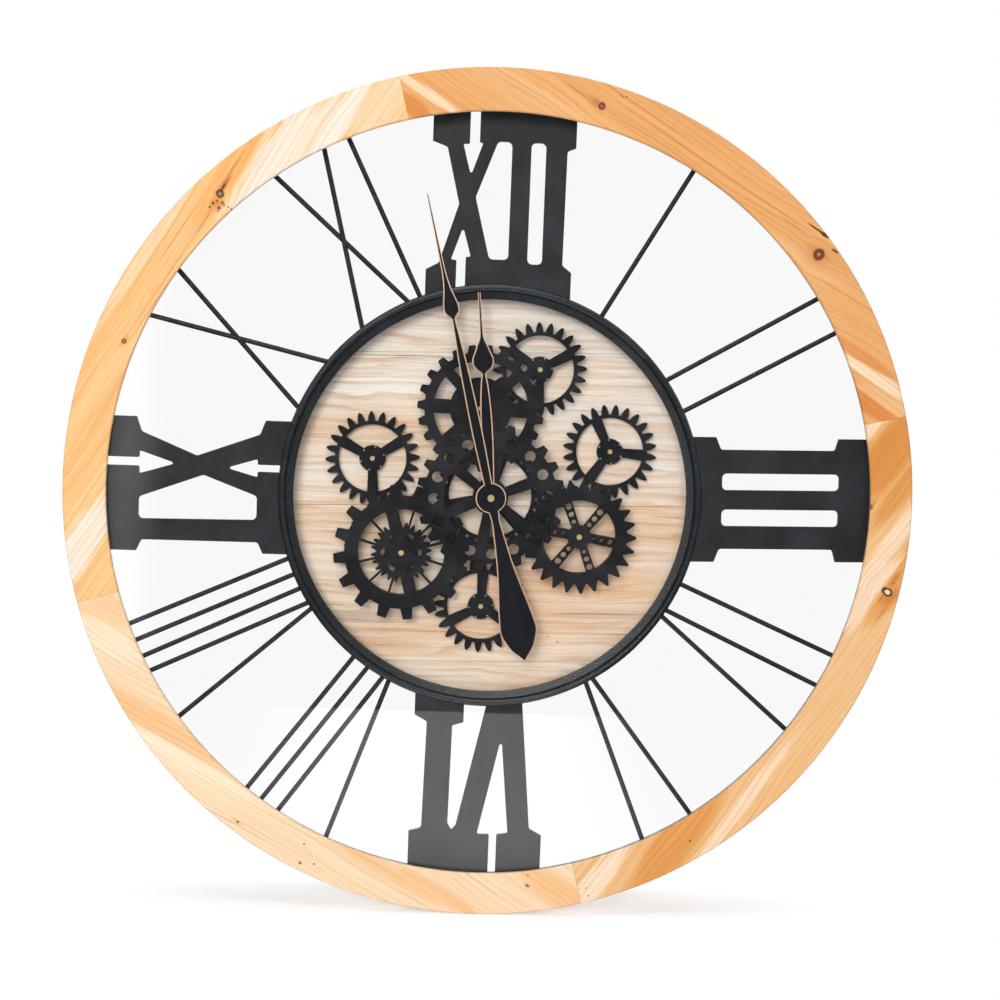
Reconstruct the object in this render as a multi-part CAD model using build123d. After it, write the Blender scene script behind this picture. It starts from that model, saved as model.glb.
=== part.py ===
from build123d import *
import os
from math import acos, cos, pi, radians, sin, sqrt, tan

# Gear wall clock: a wooden ring with glass, steel numerals welded to a steel drum, and moving gears
# on a plank dial. The frame is upright with +Z towards twelve, +X towards three and the front to -Y.
# The origin is on the hand axis in the plane of the wall. All lengths are millimetres, and a
# "level" is a distance from the wall towards the viewer.

# Driving sizes of the whole clock
clock_radius = 300.0
clock_depth = 62.0
wood_ring_width = 30.0
wood_ring_thickness = 18.0
drum_radius = 151.6
drum_rim_width = 10.8
movement_depth = 18.0
backing_thickness = 4.0
plank_thickness = 5.0

# Driving sizes of the gears
module = 2.6
pressure_angle = 25.0
mesh_backlash = 0.5
gear_thickness = 3.0
layer_gap = 1.0
gear_lift = 2.5
raised_height = 0.6

# Fits and clearances
running_clearance = 0.05
seat_clearance = 0.3
moving_clearance = 0.3
cut_overrun = 5.0

# Levels and radii that several pieces share
dial_back = movement_depth
plank_back = dial_back + backing_thickness
dial_front = plank_back + plank_thickness
wood_back = clock_depth - wood_ring_thickness
opening_radius = clock_radius - wood_ring_width


def layer_back(number):
    return dial_front + gear_lift + number * (gear_thickness + layer_gap)


# Shared drawing helpers: outlines are drawn in the plane of the dial
def slab(outline, back, front):
    return extrude(Plane.XZ.offset(back) * outline, amount=front - back)


def disc(radius, back, front, place=(0, 0)):
    return slab(Pos(*place) * Circle(radius), back, front)


def tube(outer, inner, back, front, place=(0, 0)):
    return slab(Pos(*place) * (Circle(outer) - Circle(inner)), back, front)


def block(width, height, back, front, place=(0, 0)):
    return slab(Pos(*place) * Rectangle(width, height), back, front)


def turned(profile, turn=360.0):
    points = [(radius, -level) for radius, level in profile]
    return revolve(make_face(Polyline(*points, close=True)), Axis.Y, turn)


def polar(radius, angle, origin=(0, 0)):
    return (origin[0] + radius * cos(radians(angle)), origin[1] + radius * sin(radians(angle)))


def around(count, radius, phase=0.0, origin=(0, 0)):
    return [polar(radius, phase + 360 * step / count, origin) for step in range(count)]


def outline_through(points):
    return make_face(Polyline(*points, close=True))


# An outline with rounded corners; a corner between short sides takes no more than its share of them
corner_reach_share = 0.45


def rounded_through(points, radii):
    sides = []
    ends = []
    neighbours = zip(points[-1:] + points[:-1], points, points[1:] + points[:1], radii)
    for before, corner, after, radius in neighbours:
        corner = Vector(*corner)
        back = Vector(*before) - corner
        on = Vector(*after) - corner
        half = radians(back.get_angle(on)) / 2
        reach = min(radius / tan(half), corner_reach_share * min(back.length, on.length))
        back = back.normalized()
        on = on.normalized()
        depth = reach / cos(half) - reach * tan(half)
        start = corner + back * reach
        end = corner + on * reach
        if radius > 0:
            sides.append(ThreePointArc(start, corner + (back + on).normalized() * depth, end))
        ends.append((start, end))
    sides += [Line(one[1], other[0]) for one, other in zip(ends, ends[1:] + ends[:1])]
    return make_face(sides)


def bore(radius, place=(0, 0)):
    return disc(radius, -cut_overrun, clock_depth + cut_overrun, place)


def grouped(pieces):
    return Compound(children=[solid for piece in pieces for solid in piece.solids()])


# Wooden ring: four solid segments around a rebate that takes the glass
segment_joint_angle = {"upper_right": 13.4, "upper_left": 104.4, "lower_left": 195.9, "lower_right": 284.6}
lip_thickness = 3.5
lip_cover = 10.0
wood_edge_break = 0.8
rebate_radius = opening_radius + lip_cover
frame_screw_count = 12
frame_ring_setback = 6.0
frame_ring_outer = clock_radius - frame_ring_setback
frame_screw_circle = (rebate_radius + frame_ring_outer) / 2
frame_screw_radius = 1.9
frame_screw_length = 14.0
pilot_radius = frame_screw_radius + running_clearance


def wood_segment(start, end):
    lip_back = clock_depth - lip_thickness
    edge = wood_edge_break
    profile = [
        (rebate_radius, wood_back),
        (clock_radius - edge, wood_back),
        (clock_radius, wood_back + edge),
        (clock_radius, clock_depth - edge),
        (clock_radius - edge, clock_depth),
        (opening_radius + edge, clock_depth),
        (opening_radius, clock_depth - edge),
        (opening_radius, lip_back),
        (rebate_radius, lip_back),
    ]
    segment = Rot(0, -end, 0) * turned(profile, end - start)
    for place in around(frame_screw_count, frame_screw_circle):
        segment -= disc(pilot_radius, wood_back - cut_overrun, frame_back + frame_screw_length, place)
    return segment


def wood_segments():
    names = list(segment_joint_angle)
    segments = {}
    for index, name in enumerate(names):
        start = segment_joint_angle[name]
        end = segment_joint_angle[names[(index + 1) % len(names)]]
        if end < start:
            end += 360
        segments["wood_segment_" + name] = wood_segment(start, end)
    return segments


# Glass, and the hoop behind it that holds it against the wooden lip
glass_thickness = 3.0
glass_front = clock_depth - lip_thickness
glass_back = glass_front - glass_thickness
glass_radius = rebate_radius - seat_clearance
hoop_width = 3.7


def glass_cover():
    return disc(glass_radius, glass_back, glass_front)


def glass_hoop():
    return tube(glass_radius, glass_radius - hoop_width, wood_back, glass_back)


# Steel ring on the back of the wood, which the rods and numeral plates are welded to
frame_sheet = 2.0
frame_back = wood_back - frame_sheet
frame_ring_lip = 4.5
frame_ring_inner = opening_radius + frame_ring_lip
frame_screw_head_radius = 3.8
frame_screw_head_height = 1.6


def frame_ring():
    ring = tube(frame_ring_outer, frame_ring_inner, frame_back, wood_back)
    for place in around(frame_screw_count, frame_screw_circle):
        ring -= disc(pilot_radius, frame_back - cut_overrun, wood_back + cut_overrun, place)
    return ring


# Drum: a rolled steel wall with a rounded bead in front, a ledge for the dial and a rear flange
drum_sheet = 1.5
bumper_thickness = 2.0
cover_sheet = 1.2
cover_back = bumper_thickness
cover_front = cover_back + cover_sheet
bead_width = 5.2
rim_setback = 0.6
rim_level = wood_back - rim_setback
rim_sheet = 1.8
rim_slope = 1.0
rim_groove = 0.5
ledge_width = 5.6
drum_wall_outer = drum_radius - drum_sheet
drum_wall_inner = drum_wall_outer - drum_sheet
dial_radius = drum_wall_inner - seat_clearance
cover_screw_count = 6
cover_screw_radius = 1.5
cover_screw_head_radius = 2.8
cover_screw_head_height = 1.2
cover_screw_length = 6.0
cover_screw_phase = 30.0
cover_screw_circle = drum_wall_inner - ledge_width / 2


def drum_shell():
    rim_inner = drum_radius - drum_rim_width
    bead_inner = drum_radius - bead_width
    flange_inner = drum_wall_inner - ledge_width
    rim_back = rim_level - rim_slope - rim_sheet
    flange_front = cover_front + drum_sheet
    outside = [
        (flange_inner, cover_front),
        (drum_wall_outer, cover_front),
        (drum_wall_outer, rim_back),
        (drum_radius, rim_back),
        (drum_radius, rim_level),
    ]
    inside = [
        (bead_inner, rim_level),
        (bead_inner, rim_level - rim_groove),
        (bead_inner - rim_groove, rim_level),
        (rim_inner, rim_level - rim_slope),
        (rim_inner, rim_back),
        (drum_wall_inner, rim_back),
        (drum_wall_inner, dial_back),
        (flange_inner, dial_back),
        (flange_inner, dial_back - drum_sheet),
        (drum_wall_inner, dial_back - drum_sheet),
        (drum_wall_inner, flange_front),
        (flange_inner, flange_front),
        (flange_inner, cover_front),
    ]
    lines = [Polyline(*[(radius, -level) for radius, level in part]) for part in (outside, inside)]
    bead_top = (drum_radius - bead_width / 2, -rim_level - bead_width / 2)
    bead = ThreePointArc((drum_radius, -rim_level), bead_top, (bead_inner, -rim_level))
    shell = revolve(make_face(lines[0].edges() + bead.edges() + lines[1].edges()), Axis.Y)
    for place in around(cover_screw_count, cover_screw_circle, cover_screw_phase):
        shell -= disc(cover_screw_radius + running_clearance, cover_back, flange_front + cut_overrun, place)
    return shell


# Rods and sheet plates of the numerals, welded between the drum and the steel ring
rod_radius = 1.75
weld_level = frame_back + frame_sheet / 4
plate_thickness = 2.5
plate_half_width = 50.0
serif_corner = 2.5
window_corner = 3.5
slot_corner = 1.0
rod_end_angle = {
    "rods_i": [(60.3, 60.7)],
    "rods_ii": [(33.3, 35.9), (27.6, 26.0)],
    "rods_iv": [(-22.9, -22.6), (-28.0, -31.0), (-36.3, -32.6)],
    "rods_v": [(-55.7, -58.8), (-64.1, -60.5)],
    "rods_vii": [(-127.8, -128.5), (-125.1, -123.6), (-122.1, -118.5), (-113.6, -117.1)],
    "rods_viii": [(-158.6, -161.3), (-156.0, -156.6), (-153.4, -152.3), (-151.0, -147.7), (-142.7, -146.3)],
    "rods_x": [(145.5, 157.7), (154.1, 141.5)],
    "rods_xi": [(113.7, 111.3), (117.2, 130.0), (126.2, 114.2)],
}

# Each plate is an outline less its windows and slots. The first share runs clockwise along the half
# width, and the second outwards from the drum to the steel ring; the rest is trimmed to their curve.
plate_angle = {"plate_xii": 90.0, "plate_ix": 180.0, "plate_iii": 1.4, "plate_vi": -90.0}
plate_edge_shares = {
    "plate_xii": [
        (-1.04, -0.12), (-1.04, 0.07), (-0.86, 0.11), (-0.60, 0.45), (-0.79, 0.77), (-1.0, 0.8), (-1.0, 1.1),
        (1.02, 1.1), (1.02, 0.79), (0.9, 0.77), (0.89, 0.12), (1.02, 0.08), (1.02, -0.12),
    ],
    "plate_ix": [
        (-0.92, -0.12), (-0.92, 0.08), (-0.76, 0.11), (-0.77, 0.78), (-0.93, 0.81), (-0.93, 1.1), (0.98, 1.1),
        (0.98, 0.82), (0.77, 0.79), (0.45, 0.47), (0.78, 0.11), (0.98, 0.08), (0.98, -0.12),
    ],
    "plate_iii": [
        (-0.9, -0.12), (-0.9, 0.08), (-0.72, 0.11), (-0.72, 0.78), (-0.89, 0.8), (-0.89, 1.1), (0.89, 1.1),
        (0.89, 0.8), (0.71, 0.78), (0.71, 0.11), (0.9, 0.08), (0.9, -0.12),
    ],
    "plate_vi": [
        (-0.55, -0.12), (-0.74, 0.73), (-0.92, 0.77), (-0.92, 1.1), (1.01, 1.1), (1.01, 0.76), (0.83, 0.74),
        (0.8, 0.1), (0.98, 0.06), (0.98, -0.12),
    ],
}
plate_window_shares = {
    "plate_xii": [
        [(-0.08, 0.81), (0.12, 0.81), (0.12, 0.14), (-0.15, 0.14), (-0.37, 0.49)],
        [(0.39, 0.81), (0.6, 0.81), (0.6, 0.12), (0.39, 0.12)],
    ],
    "plate_ix": [[(-0.47, 0.8), (-0.16, 0.8), (0.18, 0.43), (-0.1, 0.12), (-0.44, 0.12)]],
    "plate_iii": [
        [(-0.38, 0.81), (-0.14, 0.81), (-0.14, 0.12), (-0.38, 0.12)],
        [(0.14, 0.81), (0.38, 0.81), (0.38, 0.12), (0.14, 0.12)],
    ],
    "plate_vi": [],
}
plate_slot_shares = {
    "plate_xii": [
        [(-0.45, 0.61), (-0.57, 0.79), (-0.48, 0.79), (-0.48, 1.2), (-0.34, 1.2), (-0.34, 0.8), (-0.29, 0.8)],
        [(-0.53, 0.32), (-0.69, 0.13), (-0.61, 0.13), (-0.61, -0.2), (-0.48, -0.2), (-0.48, 0.15),
         (-0.41, 0.15)],
    ],
    "plate_ix": [
        [(0.33, 0.59), (0.17, 0.8), (0.28, 0.8), (0.28, 1.2), (0.4, 1.2), (0.4, 0.8), (0.5, 0.8)],
        [(0.29, 0.3), (0.17, 0.12), (0.25, 0.12), (0.25, -0.2), (0.35, -0.2), (0.35, 0.12), (0.43, 0.12)],
    ],
    "plate_iii": [],
    "plate_vi": [
        [(0.27, -0.2), (0.27, 0.1), (0.43, 0.12), (0.45, 0.71), (0.39, 0.75), (0.33, 0.72), (-0.05, 0),
         (-0.05, -0.2)],
        [(-0.29, 0.18), (0.02, 0.77), (-0.16, 0.77), (-0.16, 1.2), (-0.27, 1.2), (-0.27, 0.77),
         (-0.43, 0.76)],
    ],
}


def weld_band():
    return tube(frame_ring_inner, drum_radius, 0, clock_depth)


def numeral_rods(name):
    rods = []
    for outer_angle, inner_angle in rod_end_angle[name]:
        outer = polar(frame_ring_inner + cut_overrun, outer_angle)
        inner = polar(drum_radius - cut_overrun, inner_angle)
        start = Vector(inner[0], -weld_level, inner[1])
        run = Vector(outer[0], -weld_level, outer[1]) - start
        rod = extrude(Plane(start, z_dir=run.normalized()) * Circle(rod_radius), amount=run.length)
        rods.append(rod & weld_band())
    return rods


def plate_points(shares):
    span = frame_ring_inner - drum_radius
    return [(drum_radius + span * out, -plate_half_width * across) for across, out in shares]


def inner_corner_radii(points):
    radii = []
    for before, corner, after in zip(points[-1:] + points[:-1], points, points[1:] + points[:1]):
        arrive = Vector(*corner) - Vector(*before)
        leave = Vector(*after) - Vector(*corner)
        radii.append(serif_corner if arrive.cross(leave).Z > 0 else 0)
    return radii


def numeral_plate(name):
    edge = plate_points(plate_edge_shares[name])
    outline = rounded_through(edge, inner_corner_radii(edge))
    for table, radius in ((plate_window_shares, window_corner), (plate_slot_shares, slot_corner)):
        for shares in table[name]:
            outline -= rounded_through(plate_points(shares), [radius] * len(shares))
    back = weld_level - plate_thickness / 2
    plate = slab(outline, back, back + plate_thickness)
    return (Rot(0, -plate_angle[name], 0) * plate) & weld_band()


# Places of the arbors: each wheel lies at a centre distance that its meshing teeth give
central_teeth = 28
lower_left_teeth = 30
lower_right_teeth = 26
outer_teeth = 24
upper_pinion_teeth = 15
transfer_teeth = 30
motor_teeth = 10
central_phase = 4.0
lower_left_direction = 213.9
lower_right_direction = -22.3
left_direction = 109.1
bottom_direction = -33.1
right_direction = 71.8
transfer_direction = 132.8
upper_direction = 215.1
motor_direction = -75.0


def centre_distance(teeth, other_teeth):
    return module * (teeth + other_teeth) / 2


central_place = (0, 0)
lower_left_place = polar(centre_distance(central_teeth, lower_left_teeth), lower_left_direction)
lower_right_place = polar(centre_distance(central_teeth, lower_right_teeth), lower_right_direction)
outer_distance = centre_distance(lower_left_teeth, outer_teeth)
left_place = polar(outer_distance, left_direction, lower_left_place)
bottom_place = polar(outer_distance, bottom_direction, lower_left_place)
right_place = polar(centre_distance(lower_right_teeth, outer_teeth), right_direction, lower_right_place)
top_place = polar(centre_distance(transfer_teeth, transfer_teeth), transfer_direction, right_place)
upper_place = polar(centre_distance(outer_teeth, upper_pinion_teeth), upper_direction, top_place)
motor_place = polar(centre_distance(transfer_teeth, motor_teeth), motor_direction, right_place)


def mesh_phase(teeth, driver_teeth, driver_phase, direction):
    lead = (driver_phase - direction) * driver_teeth / teeth
    return direction + 180 + 180 / teeth - lead


lower_left_phase = mesh_phase(lower_left_teeth, central_teeth, central_phase, lower_left_direction)
lower_right_phase = mesh_phase(lower_right_teeth, central_teeth, central_phase, lower_right_direction)
left_phase = mesh_phase(outer_teeth, lower_left_teeth, lower_left_phase, left_direction)
bottom_phase = mesh_phase(outer_teeth, lower_left_teeth, lower_left_phase, bottom_direction)
right_phase = mesh_phase(outer_teeth, lower_right_teeth, lower_right_phase, right_direction)
top_phase = 3.0
upper_phase = mesh_phase(upper_pinion_teeth, outer_teeth, top_phase, upper_direction)
transfer_phase = 0.0
top_transfer_phase = mesh_phase(transfer_teeth, transfer_teeth, transfer_phase, transfer_direction)
motor_phase = mesh_phase(motor_teeth, transfer_teeth, transfer_phase, motor_direction)

# Tooth outlines
tooth_depth_share = 1.6
tooth_tip_share = 0.7


def flank_angle(teeth, radius):
    pitch_radius = module * teeth / 2
    base_radius = pitch_radius * cos(radians(pressure_angle))
    slope = acos(min(1.0, base_radius / radius))
    roll = tan(radians(pressure_angle)) - radians(pressure_angle) - tan(slope) + slope
    return (pi / (2 * teeth) - mesh_backlash / (4 * pitch_radius) + roll) * 180 / pi


def mesh_outline(teeth, phase, place=(0, 0)):
    pitch_radius = module * teeth / 2
    tip = pitch_radius + module
    root = pitch_radius - tooth_depth_share * module
    shoulder = tip - module / 4
    base = max(root + module / 2, pitch_radius * cos(radians(pressure_angle)))
    flank_radii = (root, base, pitch_radius, shoulder)
    stations = [(radius, flank_angle(teeth, max(radius, base))) for radius in flank_radii]
    stations.append((tip, tooth_tip_share * flank_angle(teeth, tip)))
    points = []
    for centre in (phase + 360 * tooth / teeth for tooth in range(teeth)):
        points += [polar(radius, centre - half, place) for radius, half in stations]
        points += [polar(radius, centre + half, place) for radius, half in reversed(stations)]
    return outline_through(points)


def plain_outline(teeth, root, tip, root_share, tip_share, phase, place):
    pitch = 360 / teeth
    points = []
    for centre in (phase + pitch * tooth for tooth in range(teeth)):
        points.append(polar(root, centre - pitch * root_share / 2, place))
        points.append(polar(tip, centre - pitch * tip_share / 2, place))
        points.append(polar(tip, centre + pitch * tip_share / 2, place))
        points.append(polar(root, centre + pitch * root_share / 2, place))
    return outline_through(points)


def spoke_outlines(count, inner, outer, inner_width, outer_width, phase, place):
    side = [(inner, inner_width / 2), (outer, outer_width / 2)]
    spoke = outline_through(side + [(along, -across) for along, across in reversed(side)])
    return [Pos(*place) * Rot(0, 0, phase + 360 * step / count) * spoke for step in range(count)]


# Small three-spoked wheels, four alike: left, right, bottom and top
outer_rim_inner = 24.3
outer_hub_radius = 9.4
outer_spoke_count = 3
outer_spoke_widths = (6.2, 8.2)
outer_hub_ring_radius = 6.6
outer_post_radius = 1.25
outer_head_radius = 1.7
head_height = 0.9
spoke_angle = {"left": 32.2, "right": 355.7, "bottom": 88.2, "top": 29.2}


def spoked(rim, spokes, hub_radius, place=(0, 0)):
    outline = rim + Pos(*place) * Circle(hub_radius)
    for spoke in spokes:
        outline += spoke
    return outline


def outer_wheel(name, place, phase, layer, bore_radius):
    back = layer_back(layer)
    front = back + gear_thickness
    rim = mesh_outline(outer_teeth, phase, place) - Pos(*place) * Circle(outer_rim_inner)
    spokes = spoke_outlines(outer_spoke_count, outer_hub_ring_radius, outer_rim_inner + raised_height,
                            *outer_spoke_widths, spoke_angle[name], place)
    wheel = slab(spoked(rim, spokes, outer_hub_radius, place), back, front)
    wheel += disc(outer_hub_ring_radius, front, front + raised_height, place)
    return wheel - bore(bore_radius, place)


# Central wheel, its raised ring of holes, and the drive gear behind it, all on one hub
movement_bush_radius = 5.0
central_hub_radius = 8.0
central_boss_radius = 12.5
central_wheel_teeth = 23
central_tip = 53.2
central_root = 47.8
central_wheel_phase = 12.7
central_root_share = 0.63
central_tip_share = 0.31
central_rim_inner = 33.4
central_spoke_count = 6
central_spoke_phase = 21.7
central_spoke_widths = (6.4, 8.8)
raised_ring_outer = 45.2
raised_ring_height = 1.5
ring_hole_count = 16
ring_hole_radius = 4.0
ring_hole_phase = 3.2
ring_hole_circle = 40.7
drive_rim_inner = 29.9
drive_spoke_count = 3
drive_spoke_phase = 71.8
drive_spoke_width = 5.0
central_back = layer_back(3)
central_front = central_back + gear_thickness
ring_front = central_front + raised_ring_height
bush_front = ring_front + seat_clearance


def ring_holes():
    places = around(ring_hole_count, ring_hole_circle, ring_hole_phase)
    return [bore(ring_hole_radius, place) for place in places]


def central_wheel():
    teeth = plain_outline(central_wheel_teeth, central_root, central_tip, central_root_share,
                          central_tip_share, central_wheel_phase, central_place)
    spokes = spoke_outlines(central_spoke_count, central_hub_radius, central_rim_inner + raised_height,
                            *central_spoke_widths, central_spoke_phase, central_place)
    outline = spoked(teeth - Circle(central_rim_inner), spokes, central_boss_radius)
    wheel = slab(outline, central_back, central_front)
    return wheel - bore(central_hub_radius) - ring_holes()


def central_ring():
    return tube(raised_ring_outer, central_rim_inner, central_front, ring_front) - ring_holes()


def central_drive_gear():
    back = layer_back(0)
    rim = mesh_outline(central_teeth, central_phase) - Circle(drive_rim_inner)
    spokes = spoke_outlines(drive_spoke_count, central_hub_radius, drive_rim_inner + raised_height,
                            drive_spoke_width, drive_spoke_width, drive_spoke_phase, central_place)
    gear = slab(spoked(rim, spokes, central_boss_radius), back, back + gear_thickness)
    gear += disc(central_hub_radius, back, ring_front)
    return gear - bore(movement_bush_radius + running_clearance)


# Shared sizes of the three wheels that turn on thicker posts, in the third layer
wheel_post_radius = 1.5
wheel_head_radius = 1.95
wheel_bore_radius = wheel_post_radius + running_clearance
wheel_back = layer_back(2)
wheel_front = wheel_back + gear_thickness


def post_wheel(outline, place, step_outer, step_inner, collar_radius):
    wheel = slab(outline, wheel_back, wheel_front)
    wheel += tube(step_outer, step_inner, wheel_front, wheel_front + raised_height / 2, place)
    wheel += disc(collar_radius, wheel_front, wheel_front + raised_height, place)
    return wheel - bore(wheel_bore_radius, place)


def hidden_gear(teeth, phase, place, inner, web_width, web_turn, hub_radius):
    back = layer_back(0)
    rim = mesh_outline(teeth, phase, place) - Pos(*place) * Circle(inner)
    web = Pos(*place) * Rot(0, 0, web_turn) * Rectangle(2 * inner + web_width, web_width)
    gear = slab(spoked(rim, [web], hub_radius, place), back, back + gear_thickness)
    gear += disc(hub_radius, back, wheel_back, place)
    return gear - bore(wheel_bore_radius, place)


# Upper wheel with its raised middle disc, and the pinion that turns it
upper_wheel_teeth = 23
upper_tip = 45.4
upper_root = 40.4
upper_root_share = 0.67
upper_tip_share = 0.37
upper_wheel_phase = 6.3
upper_rim_inner = 33.7
upper_step_radius = 37.3
wide_spoke_count = 2
wide_spoke_phase = -1.4
wide_spoke_width = 10.2
narrow_spoke_count = 4
narrow_spoke_phase = 43.6
narrow_spoke_width = 7.8
upper_hub_radius = 22.2
upper_disc_radius = 19.4
pinion_hub_radius = 9.0


def upper_wheel():
    teeth = plain_outline(upper_wheel_teeth, upper_root, upper_tip, upper_root_share, upper_tip_share,
                          upper_wheel_phase, upper_place)
    rim = teeth - Pos(*upper_place) * Circle(upper_rim_inner)
    inner = upper_disc_radius
    outer = upper_rim_inner + raised_height
    wide = spoke_outlines(wide_spoke_count, inner, outer, wide_spoke_width, wide_spoke_width,
                          wide_spoke_phase, upper_place)
    narrow = spoke_outlines(narrow_spoke_count, inner, outer, narrow_spoke_width, narrow_spoke_width,
                            narrow_spoke_phase, upper_place)
    outline = spoked(rim, wide + narrow, upper_hub_radius, upper_place)
    return post_wheel(outline, upper_place, upper_step_radius, upper_rim_inner, upper_disc_radius)


def upper_pinion():
    back = layer_back(1)
    pinion = slab(mesh_outline(upper_pinion_teeth, upper_phase, upper_place), back, back + gear_thickness)
    pinion += disc(pinion_hub_radius, back, wheel_back, upper_place)
    return pinion - bore(wheel_bore_radius, upper_place)


# Lower left wheel with heavy teeth and thin spokes, and the small drilled gear in front of it
heavy_teeth = 16
heavy_tip = 48.9
heavy_root = 41.0
heavy_root_share = 0.55
heavy_tip_share = 0.34
heavy_phase = 7.1
heavy_rim_inner = 31.0
heavy_step_radius = 38.8
heavy_hub_radius = 12.0
thin_spoke_count = 12
thin_spoke_phase = 14.8
thin_spoke_width = 1.6
thick_spoke_count = 2
thick_spoke_phase = 104.4
thick_spoke_width = 9.0
heavy_web_width = 7.0
heavy_drive_inner = 31.5
small_gear_teeth = 24
small_gear_tip = 21.8
small_gear_root = 17.9
small_gear_root_share = 0.8
small_gear_tip_share = 0.2
small_gear_phase = 6.0
small_gear_thickness = 2.5
small_gear_hole_count = 6
small_gear_hole_radius = 3.1
small_gear_hole_circle = 11.7
small_gear_hole_phase = 2.2
small_gear_collar_radius = 3.9
small_gear_front = wheel_front + small_gear_thickness


def lower_left_wheel():
    teeth = plain_outline(heavy_teeth, heavy_root, heavy_tip, heavy_root_share, heavy_tip_share, heavy_phase,
                          lower_left_place)
    rim = teeth - Pos(*lower_left_place) * Circle(heavy_rim_inner)
    inner = small_gear_collar_radius
    outer = heavy_rim_inner + raised_height
    thin = spoke_outlines(thin_spoke_count, inner, outer, thin_spoke_width, thin_spoke_width,
                          thin_spoke_phase, lower_left_place)
    thick = spoke_outlines(thick_spoke_count, inner, outer, thick_spoke_width, thick_spoke_width,
                           thick_spoke_phase, lower_left_place)
    wheel = slab(spoked(rim, thin + thick, heavy_hub_radius, lower_left_place), wheel_back, wheel_front)
    wheel += tube(heavy_step_radius, heavy_rim_inner, wheel_front, wheel_front + raised_height / 2,
                  lower_left_place)
    return wheel - bore(wheel_bore_radius, lower_left_place)


def lower_left_drive_gear():
    return hidden_gear(lower_left_teeth, lower_left_phase, lower_left_place, heavy_drive_inner,
                       heavy_web_width, thick_spoke_phase, central_hub_radius)


def lower_left_front_gear():
    outline = plain_outline(small_gear_teeth, small_gear_root, small_gear_tip, small_gear_root_share,
                            small_gear_tip_share, small_gear_phase, lower_left_place)
    gear = slab(outline, wheel_front, small_gear_front)
    for place in around(small_gear_hole_count, small_gear_hole_circle, small_gear_hole_phase,
                        lower_left_place):
        gear -= bore(small_gear_hole_radius, place)
    collar_front = small_gear_front + raised_height
    gear += disc(small_gear_collar_radius, small_gear_front, collar_front, lower_left_place)
    return gear - bore(wheel_bore_radius, lower_left_place)


# Lower right wheel: pointed teeth and six drilled spokes
pointed_teeth = 25
pointed_tip = 41.3
pointed_root = 34.7
pointed_root_share = 0.86
pointed_tip_share = 0.14
pointed_phase = 0.5
pointed_rim_inner = 26.4
pointed_step_radius = 32.6
drilled_spoke_count = 6
drilled_spoke_phase = -8.8
drilled_spoke_widths = (5.6, 7.0)
drilled_hub_radius = 8.5
drilled_collar_radius = 3.6
drilled_holes = {11.4: 1.65, 17.1: 2.0, 23.2: 2.3}
pointed_drive_inner = 27.0
pointed_web_width = 6.4
pointed_drive_hub = 6.0


def spoke_holes():
    return [bore(radius, place) for circle, radius in drilled_holes.items()
            for place in around(drilled_spoke_count, circle, drilled_spoke_phase, lower_right_place)]


def lower_right_wheel():
    teeth = plain_outline(pointed_teeth, pointed_root, pointed_tip, pointed_root_share, pointed_tip_share,
                          pointed_phase, lower_right_place)
    rim = teeth - Pos(*lower_right_place) * Circle(pointed_rim_inner)
    spokes = spoke_outlines(drilled_spoke_count, drilled_collar_radius, pointed_rim_inner + raised_height,
                            *drilled_spoke_widths, drilled_spoke_phase, lower_right_place)
    outline = spoked(rim, spokes, drilled_hub_radius, lower_right_place)
    wheel = post_wheel(outline, lower_right_place, pointed_step_radius, pointed_rim_inner,
                       drilled_collar_radius)
    return wheel - spoke_holes()


def lower_right_drive_gear():
    gear = hidden_gear(lower_right_teeth, lower_right_phase, lower_right_place, pointed_drive_inner,
                       pointed_web_width, drilled_spoke_phase, pointed_drive_hub)
    return gear - spoke_holes()


# Brass posts of the wheels that turn on fixed pins: a shaft in the dial, a shoulder and a head
post_shoulder_radius = 3.4


def post(place, radius, head_radius, hub_front):
    head_back = hub_front + moving_clearance
    shaft = disc(radius, dial_back, head_back, place)
    shoulder = disc(post_shoulder_radius, dial_front, layer_back(0) - moving_clearance, place)
    return shaft + shoulder + disc(head_radius, head_back, head_back + head_height, place)


def brass_posts():
    outer_hub_front = layer_back(0) + gear_thickness + raised_height
    wheel_hub_front = wheel_front + raised_height
    front_hub_front = small_gear_front + raised_height
    return [
        post(left_place, outer_post_radius, outer_head_radius, outer_hub_front),
        post(bottom_place, outer_post_radius, outer_head_radius, outer_hub_front),
        post(upper_place, wheel_post_radius, wheel_head_radius, wheel_hub_front),
        post(lower_right_place, wheel_post_radius, wheel_head_radius, wheel_hub_front),
        post(lower_left_place, wheel_post_radius, wheel_head_radius, front_hub_front),
    ]


# Turning arbors of the right and top wheels, in bushes through the dial, with a transfer gear each
arbor_radius = 1.5
arbor_bush_radius = 3.0
bush_flange_radius = 5.0
bush_flange_height = 1.2
transfer_thickness = 2.5
transfer_gap = 1.0
transfer_rim_inner = 32.0
transfer_hub_radius = 6.0
transfer_spoke_width = 6.0
transfer_spoke_count = 4
transfer_front = dial_back - bush_flange_height - transfer_gap
transfer_back = transfer_front - transfer_thickness
turning_arbors = {"right": (right_place, 0), "top": (top_place, 1)}


def arbor(name):
    place, layer = turning_arbors[name]
    hub_front = layer_back(layer) + gear_thickness + raised_height
    shaft = disc(arbor_radius, transfer_back, hub_front, place)
    return shaft + disc(outer_head_radius, hub_front, hub_front + head_height, place)


def arbor_bush(place, layer):
    flange = disc(bush_flange_radius, dial_back - bush_flange_height, dial_back, place)
    body = disc(arbor_bush_radius, dial_back, layer_back(layer) - moving_clearance, place)
    return flange + body - bore(arbor_radius + running_clearance, place)


def arbor_bushes():
    return [arbor_bush(place, layer) for place, layer in turning_arbors.values()]


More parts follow.
